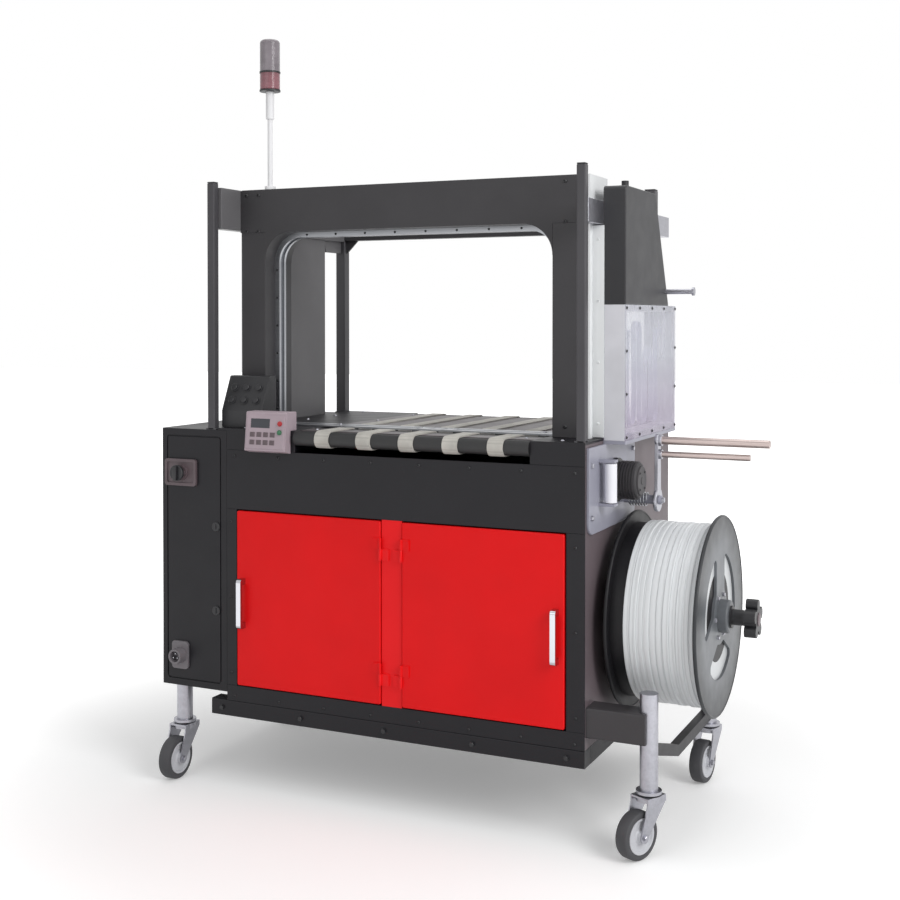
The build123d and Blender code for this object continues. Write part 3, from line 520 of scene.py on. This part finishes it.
class Piece:
    """Solids gathered in one mesh, in the frame of the part, in metres."""

    def __init__(self):
        self.mesh = bmesh.new()

    def block(self, low, high, bevel=0.0):
        """A box between two corners, with its edges bevelled."""
        low, high = Vector(low), Vector(high)
        place = Matrix.Translation((low + high) / 2) @ Matrix.Diagonal((*(high - low), 1.0))
        made = bmesh.ops.create_cube(self.mesh, size=1.0, matrix=place)
        if bevel:
            edges = list({edge for vert in made["verts"] for edge in vert.link_edges})
            bmesh.ops.bevel(
                self.mesh, geom=edges, offset=bevel, segments=2, affect="EDGES", profile=0.5
            )

    def loft(self, sections, closed=False):
        """A skin over rings of places, capped at both ends or closed on itself."""
        rings = [[self.mesh.verts.new(place) for place in section] for section in sections]
        for low, high in zip(rings, rings[1:]):
            self.bridge(low, high)
        if closed:
            self.bridge(rings[-1], rings[0])
            return
        for end in (rings[0], rings[-1]):
            if len(end) > 2:
                self.mesh.faces.new(end)

    def bridge(self, low, high):
        """Faces between two rings of the same count, or between a ring and a point."""
        count = max(len(low), len(high))
        for step in range(count):
            after = (step + 1) % count
            corners = [low[step % len(low)], low[after % len(low)]]
            corners += [high[after % len(high)], high[step % len(high)]]
            unique = list(dict.fromkeys(corners))
            if len(unique) > 2:
                self.mesh.faces.new(unique)

    def turned(self, profile, centre, axis, segments=40, turn=0.0, closed=False):
        """A solid turned about an axis, from a profile of (radius, reach along the axis)."""
        along, first, second = frame_of(axis)
        sections = []
        for radius, reach in profile:
            middle = Vector(centre) + along * reach
            if radius < POINT_RADIUS:
                sections.append([middle])
                continue
            angles = [turn + math.tau * step / segments for step in range(segments)]
            spokes = [first * math.cos(angle) + second * math.sin(angle) for angle in angles]
            sections.append([middle + spoke * radius for spoke in spokes])
        self.loft(sections, closed)

    def ribbon(self, path, width, thickness):
        """A flat strip along a path, with its width along X."""
        half = RIGHT * width / 2
        sections = []
        for index, centre in enumerate(path):
            ahead = path[min(index + 1, len(path) - 1)] - path[max(index - 1, 0)]
            face = ahead.cross(RIGHT).normalized() * thickness / 2
            left, right = centre - half, centre + half
            sections.append((left - face, right - face, right + face, left + face))
        self.loft(sections)

    def bolt(self, place, axis, size):
        """A hex bolt on its washer. Size is the thread's diameter."""
        self.turned(scaled(WASHER, size), place, axis, segments=20)
        self.turned(scaled(HEX_HEAD, size), place, axis, segments=6, turn=random.random())

    def screw(self, place, axis, size):
        """A button-head screw with a socket. Size is the head's radius."""
        self.turned(scaled(SCREW_HEAD, size), place, axis, segments=18)

    def done(self, name, finish, body, stands_for=()):
        """Makes the object, with its material and body."""
        bmesh.ops.recalc_face_normals(self.mesh, faces=self.mesh.faces)
        mesh = bpy.data.meshes.new(name)
        self.mesh.to_mesh(mesh)
        self.mesh.free()
        mesh.shade_smooth()
        mesh.set_sharp_from_angle(angle=SMOOTH_ANGLE)
        made = bpy.data.objects.new(name, mesh)
        bpy.context.scene.collection.objects.link(made)
        mesh.materials.append(all_finishes[finish])
        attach(made, body)
        if stands_for:
            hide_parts(*stands_for)


class Face:
    """A face of a node that leans back: a place on it, its way up and its way out."""

    def __init__(self, origin, lean, rise):
        self.origin = Vector(origin)
        self.up = Vector((0, lean, rise)).normalized()
        self.out = Vector((0, -rise, lean)).normalized()

    def at(self, across, up, proud=0.0):
        """A place across, up and proud of the face, in millimetres."""
        return self.origin + (RIGHT * across + self.up * up + self.out * proud) * MM

    def slab(self, piece, across, up, width, height, thickness):
        """A thin chamfered slab on the face, in millimetres, sunk in it by half of one."""
        sections = []
        chamfer = thickness / 2
        for proud, inset in ((-0.5, 0.0), (thickness * 0.6, 0.0), (thickness, chamfer)):
            x, z = width / 2 - inset, height / 2 - inset
            corners = ((-x, -z), (x, -z), (x, z), (-x, z))
            sections.append([self.at(across + side, up + rise, proud) for side, rise in corners])
        piece.loft(sections)


# Cabinet: screws along the sheets and bolts along the front base rail


def cabinet_screws():
    """Screws along the apron, the door sill and both front stiles."""
    apron_low, apron_high, _ = span("front_apron")
    sill_low, _, _ = span("door_sill")
    stile_low, stile_high, _ = span("front_stiles")
    row_inset, apron_drop, sill_rise = 22 * MM, 14 * MM, 12 * MM
    left_inset, right_inset, end_inset = 13 * MM, 20 * MM, 30 * MM
    large, small = 4.0 * MM, 3.5 * MM
    screws = Piece()
    for x in spread(apron_low.x + row_inset, apron_high.x - row_inset, 8):
        screws.screw((x, apron_low.y, apron_high.z - apron_drop), FRONT, large)
        screws.screw((x, sill_low.y, sill_low.z + sill_rise), FRONT, small)
    for x in (stile_low.x + left_inset, stile_high.x - right_inset):
        for z in spread(stile_low.z + end_inset, stile_high.z - end_inset, 3):
            screws.screw((x, stile_low.y, z), FRONT, small)
    screws.done("cabinet_screws", "black_plastic", "machine")


def rail_bolts():
    low, high, middle = span("base_rails")
    left_inset, right_inset, size = 30 * MM, 40 * MM, 6 * MM
    bolts = Piece()
    for x in spread(low.x + left_inset, high.x - right_inset, 5):
        bolts.bolt((x, low.y, middle.z), FRONT, size)
    bolts.done("rail_bolts", "black_plastic", "machine")


# Control cabinet: locks of its door, the switch's dial and the inlet's pins

LOCK = ((11, -3), (11, 2), (9.5, 3.2), (8, 3.2))
DIAL = ((19, 0), (19, 4.5), (17.5, 6), (0, 6))
INLET_PIN = ((2.0, 0), (2.0, 10), (1.2, 12))


def cabinet_locks():
    """Two quarter-turn locks, each a collar with an upright grip."""
    low, high, _ = span("control_cabinet")
    inset, above_bottom, below_top = 30 * MM, 190 * MM, 230 * MM
    grip_half, grip_proud, grip_reach = 1.4 * MM, 5 * MM, 6 * MM
    locks = Piece()
    for z in (low.z + above_bottom, high.z - below_top):
        x = high.x - inset
        locks.turned(metres(LOCK), (x, low.y, z), FRONT)
        grip_low = (x - grip_half, low.y - grip_proud, z - grip_reach)
        locks.block(grip_low, (x + grip_half, low.y, z + grip_reach))
    locks.done("cabinet_locks", "black_plastic", "machine")


def switch_dial():
    """The main switch's round dial with its upright grip."""
    low, _, middle = span("main_switch")
    dial_depth, grip_half, grip_proud, grip_reach = 4 * MM, 5 * MM, 9 * MM, 17 * MM
    dial = Piece()
    dial.turned(metres(DIAL), (middle.x, low.y + dial_depth, middle.z), FRONT)
    grip_low = (middle.x - grip_half, low.y - grip_proud, middle.z - grip_reach)
    grip_high = (middle.x + grip_half, low.y, middle.z + grip_reach)
    dial.block(grip_low, grip_high, bevel=1.5 * MM)
    dial.done("switch_dial", "black_plastic", "machine")


def inlet_pins():
    """Three pins in the power inlet's bore."""
    low, _, middle = span("power_inlet")
    pin_circle, bore_depth = 6.5 * MM, 16 * MM
    pins = Piece()
    for across, up in circle(3, pin_circle, start=90):
        place = (middle.x + across, low.y + bore_depth, middle.z + up)
        pins.turned(metres(INLET_PIN), place, FRONT, segments=14)
    pins.done("inlet_pins", "chrome", "machine")


# Operator panel and console: display window, keys and buttons, without any marking

PANEL_LIP = 6 * MM
PANEL_LEAN, PANEL_RISE = 10, 90
KEY_COLUMNS, KEY_ROWS = (-34, -16, 2, 20), (20, 38)
BUTTON = ((6.0, 0), (6.0, 1.8), (4.8, 2.0), (4.8, 3.8), (4.0, 4.6), (0, 4.8))
BUTTON_COLUMN, BEZEL_THICKNESS = 39, 1.6
CONSOLE_FACE_Y, CONSOLE_FACE_Z = -250 * MM, 931 * MM
CONSOLE_LEAN, CONSOLE_RISE = 36, 82
CONSOLE_BUTTON = (
    (10.5, -0.5), (10.5, 1.6), (9.6, 2.2), (8.0, 2.2), (8.0, 5.0), (6.8, 6.2), (0, 6.4)
)


def operator_panel():
    """Bezel, display window, keys, and a start and a stop button."""
    low, _, middle = span("control_panel")
    face = Face((middle.x, low.y, low.z + PANEL_LIP), PANEL_LEAN, PANEL_RISE)
    bezel = Piece()
    face.slab(bezel, 0, 44, width=102, height=78, thickness=BEZEL_THICKNESS)
    bezel.done("panel_bezel", "light_plastic", "machine")
    window = Piece()
    face.slab(window, -14, 64, width=52, height=22, thickness=2.4)
    window.done("panel_display", "display", "machine")
    keys = Piece()
    for column in KEY_COLUMNS:
        for row in KEY_ROWS:
            face.slab(keys, column, row, width=13, height=11, thickness=3.6)
    keys.done("panel_keys", "switch_grey", "machine")
    for name, row, finish in (
        ("start_button", 44, "green_button"),
        ("stop_button", 64, "red_button"),
    ):
        button = Piece()
        place = face.at(BUTTON_COLUMN, row, BEZEL_THICKNESS)
        button.turned(metres(BUTTON), place, face.out, segments=32)
        button.done(name, finish, "machine")


def console_buttons():
    """Two rows of three round buttons on the console's slope."""
    _, _, middle = span("control_console")
    face = Face((middle.x, CONSOLE_FACE_Y, CONSOLE_FACE_Z), CONSOLE_LEAN, CONSOLE_RISE)
    buttons = Piece()
    for column in (-34, 0, 34):
        for row in (-18, 14):
            buttons.turned(metres(CONSOLE_BUTTON), face.at(column, row), face.out, segments=28)
    buttons.done("console_buttons", "black_plastic", "machine")


# Table and arch: screws of the plates, the arch's joints and the strap track

HEAD_PLATE_RISE = 4 * MM
HEAD_PLATE_Y = -130 * MM
TRACK_WALL = 12 * MM


def table_screws():
    """Screws of the end plates, and of the head plate and beds between them."""
    belt_low, belt_high, _ = span("table_belts")
    end_inset, side_inset, belt_gap = 60 * MM, 30 * MM, 30 * MM
    large, small = 4.5 * MM, 4.0 * MM
    screws = Piece()
    for x in (TABLE_LOW.x + end_inset, TABLE_HIGH.x - end_inset):
        for y in (TABLE_LOW.y + side_inset, 20 * MM, 160 * MM, TABLE_HIGH.y - side_inset):
            screws.screw((x, y, TABLE_HIGH.z), UP, large)
    for x in (belt_low.x - belt_gap, belt_high.x + belt_gap):
        screws.screw((x, HEAD_PLATE_Y, TABLE_HIGH.z + HEAD_PLATE_RISE), UP, small)
        for y in (-240 * MM, 60 * MM, 260 * MM):
            screws.screw((x, y, TABLE_HIGH.z), UP, small)
    screws.done("table_screws", "zinc", "machine")


def arch_screws():
    """Screws at the feet and the corners of the arch, in front and behind."""
    low, high, _ = span("arch_legs")
    beam_low, _, _ = span("arch_beam")
    outer, inner = 18 * MM, 52 * MM
    foot_rise, joint_rise, top_rise = 24 * MM, 72 * MM, 160 * MM
    size = 4.5 * MM
    screws = Piece()
    for x in (low.x + outer, low.x + inner, high.x - inner, high.x - outer):
        for z in (low.z + foot_rise, beam_low.z + joint_rise, beam_low.z + top_rise):
            screws.screw((x, low.y, z), FRONT, size)
            screws.screw((x, high.y, z), REAR, size)
    screws.done("arch_screws", "black_plastic", "machine")


def track_screws():
    """Small screws along the middle of the strap track's wall."""
    low, high, _ = span("strap_track")
    foot_gap, corner_gap, size = 36 * MM, 90 * MM, 2.8 * MM
    screws = Piece()
    for z in spread(low.z + foot_gap, high.z - corner_gap, 6):
        for x in (low.x + TRACK_WALL / 2, high.x - TRACK_WALL / 2):
            screws.screw((x, low.y, z), FRONT, size)
    for x in spread(low.x + corner_gap, high.x - corner_gap, 8):
        screws.screw((x, low.y, high.z - TRACK_WALL / 2), FRONT, size)
    screws.done("track_screws", "black_plastic", "machine")


# Cage: a cap and a foot on each corner post, given as (left side, front side, width)

POSTS = ((-571, -294, 20), (354, -294, 20), (-571, 318, 28), (318, 318, 28))


def post_ends():
    """Caps on the posts, and foot plates that stop at the table's right and rear sides."""
    low, high, _ = span("corner_posts")
    cap_inset, cap_height, foot_reach, foot_height = 0.5 * MM, 3 * MM, 4 * MM, 4 * MM
    caps = Piece()
    feet = Piece()
    for left, front, side in metres(POSTS):
        right, rear = left + side, front + side
        cap_low = (left + cap_inset, front + cap_inset, high.z)
        cap_high = (right - cap_inset, rear - cap_inset, high.z + cap_height)
        caps.block(cap_low, cap_high, bevel=1.2 * MM)
        bottom = low.z if left < 0 else TABLE_HIGH.z
        foot_right = min(right + foot_reach, TABLE_HIGH.x)
        foot_rear = min(rear + foot_reach, TABLE_HIGH.y)
        foot_low = (left - foot_reach, front, bottom)
        feet.block(foot_low, (foot_right, foot_rear, bottom + foot_height), bevel=0.8 * MM)
    caps.done("post_caps", "black_plastic", "machine")
    feet.done("post_feet", "post_paint", "machine")


# Strap store: strap folded inside, screws that clamp its sheets, and the flange in front

FOLDS = 7
FOLD_STEPS = 10


def stored_strap():
    """Strap that runs up and down in the store, with loose, uneven folds."""
    front_gap, both_gaps, bottom_gap, top_gap = 48 * MM, 90 * MM, 44 * MM, 52 * MM
    strap_width, strap_thickness = 12 * MM, 0.8 * MM
    pitch = (STORE_HIGH.y - STORE_LOW.y - both_gaps) / FOLDS
    path = []
    for fold in range(FOLDS):
        y = STORE_LOW.y + front_gap + fold * pitch
        top = STORE_HIGH.z - top_gap - random.uniform(0, 70) * MM
        bottom = STORE_LOW.z + bottom_gap + random.uniform(0, 12) * MM
        lean = random.uniform(-9, 9) * MM
        start, end, way = (bottom, top, 1) if fold % 2 == 0 else (top, bottom, -1)
        for step in range(FOLD_STEPS):
            share = step / FOLD_STEPS
            sway = lean * math.sin(share * math.pi)
            path.append(Vector((STORE_CENTRE.x, y + sway, start + (end - start) * share)))
        for step in range(FOLD_STEPS):
            angle = math.pi * step / FOLD_STEPS
            across = pitch / 2 * (1 - math.cos(angle))
            rise = way * pitch / 2 * math.sin(angle)
            path.append(Vector((STORE_CENTRE.x, y + across, end + rise)))
    strap = Piece()
    strap.ribbon(path, strap_width, strap_thickness)
    strap.done("stored_strap", "folded_strap", "machine")


def store_screws():
    """Screws round the edge of the store's outer sheet."""
    _, sheet_high, _ = span("store_windows")
    inset, size = 7 * MM, 3.6 * MM
    rows = spread(STORE_LOW.z + inset, STORE_HIGH.z - inset, 4)
    columns = spread(STORE_LOW.y + inset, STORE_HIGH.y - inset, 5)
    places = [(y, z) for y in columns for z in (rows[0], rows[-1])]
    places += [(y, z) for z in rows[1:-1] for y in (columns[0], columns[-1])]
    screws = Piece()
    for y, z in places:
        screws.screw((sheet_high.x, y, z), RIGHT, size)
    screws.done("store_screws", "black_plastic", "machine")


def store_flange():
    """A thin plate that closes the gap between the arch's side plate and the store."""
    _, plate_high, _ = span("arch_side_plate")
    rail_low, _, _ = span("right_side_rail")
    thickness, end_gap, screw_inset = 2 * MM, 2 * MM, 30 * MM
    low = Vector((plate_high.x, STORE_LOW.y - thickness, TABLE_HIGH.z + end_gap))
    high = Vector((STORE_LOW.x, STORE_LOW.y, rail_low.z - end_gap))
    flange = Piece()
    flange.block(low, high, bevel=0.5 * MM)
    for z in spread(low.z + screw_inset, high.z - screw_inset, 4):
        flange.screw(((low.x + high.x) / 2, low.y, z), FRONT, 3.4 * MM)
    flange.done("store_flange", "plate_white", "machine")


# Strap feed: bolts of the bracket and the reel's bearing, brake fins, spring and collars

BRACKET_PLATE = 6 * MM
BRACKET_BOLTS = ((-268, 690), (-268, 800), (20, 690), (20, 812))
BRAKE_FIN = ((38, -1.4), (42.5, -1.0), (42.5, 1.0), (38, 1.4))
BRAKE_CAP = ((33, 0), (33, 1.6), (31, 3.0), (9, 3.0), (8, 4.2), (0, 4.2))
SPRING_TURNS, SPRING_STEPS = 6, 28


def side_bolts():
    """Bolts of the feed bracket, of the bearing's flange and at the arm's pivot."""
    bearing_low, _, bearing = span("reel_bearing")
    bolt_circle, flange_thickness, size = 46 * MM, 8 * MM, 6 * MM
    bolts = Piece()
    for y, z in metres(BRACKET_BOLTS):
        bolts.bolt((BRACKET_LOW.x + BRACKET_PLATE, y, z), RIGHT, size)
    for across, up in circle(6, bolt_circle, start=30):
        place = (bearing_low.x + flange_thickness, bearing.y + across, bearing.z + up)
        bolts.bolt(place, RIGHT, size)
    bolts.bolt((BRACKET_HIGH.x, ARM_PIVOT_Y, ARM_PIVOT_Z), RIGHT, 7 * MM)
    bolts.done("side_bolts", "zinc", "machine")


def brake_fins():
    """Cooling fins round the brake, and its end cap with four screws."""
    low, high, middle = span("reel_brake")
    first_gap, last_gap, screw_circle, cap_rise = 20 * MM, 8 * MM, 25 * MM, 3 * MM
    fins = Piece()
    for x in spread(low.x + first_gap, high.x - last_gap, 6):
        fins.turned(metres(BRAKE_FIN), (x, middle.y, middle.z), RIGHT, segments=56)
    fins.turned(metres(BRAKE_CAP), (high.x, middle.y, middle.z), RIGHT)
    for across, up in circle(4, screw_circle, start=45):
        place = (high.x + cap_rise, middle.y + across, middle.z + up)
        fins.screw(place, RIGHT, 3.0 * MM)
    fins.done("brake_fins", "arm_grey", "machine")


def arm_spring():
    """The coil spring round the pay-off arm's pivot."""
    start, length, coil_radius, wire_radius = 20 * MM, 40 * MM, 14.5 * MM, 1.6 * MM
    along, first, second = frame_of(RIGHT)
    pivot = Vector((BRACKET_LOW.x, ARM_PIVOT_Y, ARM_PIVOT_Z))
    steps = SPRING_TURNS * SPRING_STEPS
    sections = []
    for step in range(steps + 1):
        angle = math.tau * step / SPRING_STEPS
        spoke = first * math.cos(angle) + second * math.sin(angle)
        centre = pivot + along * (start + length * step / steps) + spoke * coil_radius
        wire = circle(8, wire_radius)
        sections.append([centre + spoke * out + along * ahead for out, ahead in wire])
    spring = Piece()
    spring.loft(sections)
    spring.done("arm_spring", "steel", "machine")


def bar_collars():
    """A collar on the arm at the root of each bar, given as (height, radius)."""
    _, lever_high, _ = span("payoff_lever")
    collars = Piece()
    for z, radius in ((838, 13.0), (807, 11.0)):
        profile = ((radius, 0), (radius, 6), (radius - 1, 7), (5, 7))
        place = (lever_high.x, ARM_PIVOT_Y, z * MM)
        collars.turned(metres(profile), place, RIGHT, segments=36)
    collars.done("bar_collars", "zinc", "payoff_arm")


# Reel: hub bolts, the knob's cap, rim beads and the wound strap

OUTER_LOW, _, _ = span("reel_outer_flange")
FLANGE_THICKNESS = 6 * MM
KNOB_CAP = ((15, -0.5), (15, 1.4), (13.5, 2.2), (0, 2.6))
STRAP_WIDTH = 13 * MM
COIL_INNER = 100 * MM


def hub_bolts():
    bolt_circle, size = 49 * MM, 5 * MM
    bolts = Piece()
    for across, up in circle(6, bolt_circle):
        y, z = REEL_CENTRE.y + across, REEL_CENTRE.z + up
        bolts.bolt((OUTER_LOW.x + FLANGE_THICKNESS, y, z), RIGHT, size)
    bolts.done("hub_bolts", "zinc", "reel")


def knob_cap():
    _, knob_high, _ = span("reel_knob")
    cap = Piece()
    cap.turned(metres(KNOB_CAP), (knob_high.x, REEL_CENTRE.y, REEL_CENTRE.z), RIGHT)
    cap.done("knob_cap", "switch_grey", "reel")


def rim_bead(name, flange_x, finish):
    """A rolled bead, oval in section, round the rim of a flange."""
    inset, half_height, half_width = 3.2 * MM, 3.1 * MM, 4.2 * MM
    along, first, second = frame_of(RIGHT)
    centre = Vector((flange_x + FLANGE_THICKNESS / 2, REEL_CENTRE.y, REEL_CENTRE.z))
    oval = [(FLANGE_RADIUS - inset + half_height * x, half_width * y) for x, y in circle(12, 1.0)]
    sections = []
    for across, up in circle(96, 1.0):
        spoke = first * across + second * up
        sections.append([centre + spoke * radius + along * reach for radius, reach in oval])
    bead = Piece()
    bead.loft(sections, closed=True)
    bead.done(name, finish, "reel")


def wound_strap():
    """Strap wound side by side, each turn at a slightly different height."""
    low, high, middle = span("strap_coil")
    width, radius = high.x - low.x, (high.z - low.z) / 2
    turn_count = int(width / STRAP_WIDTH)
    turn_width = width / turn_count
    side_gap, round_reach, round_drop = 0.3 * MM, 1.4 * MM, 1.2 * MM
    profile = [(COIL_INNER, 0.0)]
    for turn in range(turn_count):
        top = radius - random.uniform(0.3, 2.2) * MM
        start, end = turn * turn_width, (turn + 1) * turn_width
        profile += [
            (top - round_drop, start + side_gap),
            (top, start + round_reach),
            (top, end - round_reach),
            (top - round_drop, end - side_gap),
        ]
    profile.append((COIL_INNER, width))
    coil = Piece()
    coil.turned(profile, (low.x, middle.y, middle.z), RIGHT, segments=128, closed=True)
    coil.done("wound_strap", "strap", "reel", stands_for=("strap_coil",))


# Casters: a tyre and a wheel centre on each wheel, and a nut at both ends of its axle.
# Profiles are (radius, reach), for a wheel of WHEEL_RADIUS.

WHEEL_RADIUS = 50
TYRE_FIT = 0.9999
TYRE_HALF = ((50, 10), (48.6, 13.5), (46, 15.2), (40, 15.5), (34, 13))
CENTRE_HALF = (
    (37, 15), (36.5, 15.9), (33, 15.4), (30, 11.5), (17, 11.5), (13, 14), (13, 20), (12, 20.4)
)
NUT_REACH, NUT_SIZE = 24.2 * MM, 6.5 * MM


def mirrored(half):
    """A profile from its far side to its near one, from its near half."""
    return [(radius, -reach) for radius, reach in reversed(half)] + list(half)


def caster(place):
    """Detailed wheel in the place of the plain one."""
    low, high, centre = span(f"caster_wheel_{place}")
    joint = next(joint for joint in frame["joints"] if joint["name"] == f"roll_{place}")
    axis = Vector(joint["axis"])
    fit = (high.z - low.z) / 2 * TYRE_FIT / WHEEL_RADIUS
    tread = [(radius * fit, reach * MM) for radius, reach in mirrored(TYRE_HALF)]
    tyre = Piece()
    tyre.turned(tread, centre, axis, segments=72, closed=True)
    tyre.done(f"tyre_{place}", "tyre", f"wheel_{place}", stands_for=(f"caster_wheel_{place}",))
    disc = [(radius * fit, reach * MM) for radius, reach in mirrored(CENTRE_HALF)]
    hub = Piece()
    hub.turned(disc, centre, axis, segments=56)
    hub.done(f"wheel_centre_{place}", "hub_grey", f"wheel_{place}")
    nuts = Piece()
    for side in (1, -1):
        nuts.bolt(centre + axis * side * NUT_REACH, axis * side, NUT_SIZE)
    nuts.done(f"axle_nuts_{place}", "zinc", f"wheel_{place}")


# Signal tower: rings at both ends of the red lens


def lamp_rings():
    low, high, middle = span("signal_lamp_red")
    radius = (high.x - low.x) / 2
    inner, outer = radius * 0.9, radius + 1.2 * MM
    edge, face = 2.5 * MM, 2 * MM
    rings = Piece()
    for z in (low.z, high.z):
        profile = ((inner, -edge), (outer, -face), (outer, face), (inner, edge))
        rings.turned(profile, (middle.x, middle.y, z), UP, segments=48)
    rings.done("lamp_rings", "black_plastic", "machine")


# The order matters, since the bolts, the folds and the turns draw on the same random numbers
cabinet_screws()
rail_bolts()
cabinet_locks()
switch_dial()
inlet_pins()
operator_panel()
console_buttons()
table_screws()
arch_screws()
track_screws()
post_ends()
stored_strap()
store_screws()
store_flange()
side_bolts()
brake_fins()
arm_spring()
bar_collars()
hub_bolts()
knob_cap()
rim_bead("inner_rim_bead", REEL_LOW.x, "flange_black")
rim_bead("outer_rim_bead", OUTER_LOW.x, "flange_grey")
wound_strap()
for place in CASTERS:
    caster(place)
lamp_rings()


# Floor: white, lifted by a glow that grows away from the machine, so that it ends in white

FLOOR_SIZE = 40.0
FLOOR_LIFT = 0.235
FADE_START, FADE_END = 0.8, 2.2


def floor_material():
    made = Finish("floor_mat")
    made.set(Base_Color=grey(0.90), Roughness=0.8, Specular_IOR_Level=0.1)
    away = made.add("ShaderNodeVectorMath", operation="LENGTH")
    made.link(made.place, away.inputs[0])
    glow = made.range(
        away.outputs["Value"], FLOOR_LIFT, 1.0, start=FADE_START, end=FADE_END, kind="SMOOTHSTEP"
    )
    strength = made.maths("MULTIPLY", made.seen(), glow)
    made.set(Emission_Color=WHITE, Emission_Strength=strength)
    return made.material


floor_mesh = bmesh.new()
bmesh.ops.create_grid(floor_mesh, x_segments=8, y_segments=8, size=FLOOR_SIZE / 2)
floor_data = bpy.data.meshes.new("floor")
floor_mesh.to_mesh(floor_data)
floor_mesh.free()
floor_data.materials.append(floor_material())
floor = bpy.data.objects.new("floor", floor_data)
bpy.context.scene.collection.objects.link(floor)


# World: white where it is seen, and a plain, even light elsewhere

WORLD_LIGHT = 0.44
world = bpy.data.worlds.new("studio")
bpy.context.scene.world = world
world.use_nodes = True
sky = NodeTree(world.node_tree)
background = sky.tree.nodes["Background"]
sky.fill(background, Color=WHITE, Strength=sky.range(sky.seen(), WORLD_LIGHT, 1.0))


# Lights: a key from the right, a weak one in front and a wide one above


def soft_light(name, place, target, size, power):
    """A square area lamp that faces a target."""
    data = bpy.data.lights.new(name, "AREA")
    data.shape = "SQUARE"
    data.size = size
    data.energy = power
    lamp = bpy.data.objects.new(name, data)
    bpy.context.scene.collection.objects.link(lamp)
    lamp.location = place
    lamp.rotation_mode = "QUATERNION"
    lamp.rotation_quaternion = (Vector(target) - Vector(place)).to_track_quat("-Z", "Y")


soft_light("key_light", (3.4, -1.6, 2.6), target=(0.2, 0, 0.8), size=2.0, power=88)
soft_light("front_light", (-0.8, -4.2, 2.6), target=(0, 0, 0.8), size=2.6, power=19)
soft_light("top_light", (0.0, 0.4, 4.2), target=(0, 0, 0.8), size=3.0, power=38)


# Camera: fitted to the photograph, whose uprights stay nearly parallel, so the fall of the
# view is mostly lens shift. Heading is level, and the pitch is downwards.

CAMERA_PLACE = (1.2701, -2.8888, 1.1085)
CAMERA_HEADING = Vector((-0.421208, 0.906964, 0.0))
CAMERA_PITCH = math.radians(0.9258)
SHIFT_PIXELS = 110.0
FOCAL_PIXELS = 1316.9
IMAGE_PIXELS = 900.0
SENSOR = 36.0

camera_data = bpy.data.cameras.new("camera")
camera_data.sensor_width = SENSOR
camera_data.lens = SENSOR * FOCAL_PIXELS / IMAGE_PIXELS
camera_data.shift_y = -SHIFT_PIXELS / IMAGE_PIXELS
camera = bpy.data.objects.new("camera", camera_data)
bpy.context.scene.collection.objects.link(camera)
camera.location = CAMERA_PLACE
camera.rotation_mode = "QUATERNION"
aim = CAMERA_HEADING * math.cos(CAMERA_PITCH) - UP * math.sin(CAMERA_PITCH)
camera.rotation_quaternion = aim.to_track_quat("-Z", "Y")
bpy.context.scene.camera = camera
bpy.context.scene.view_settings.view_transform = "Standard"
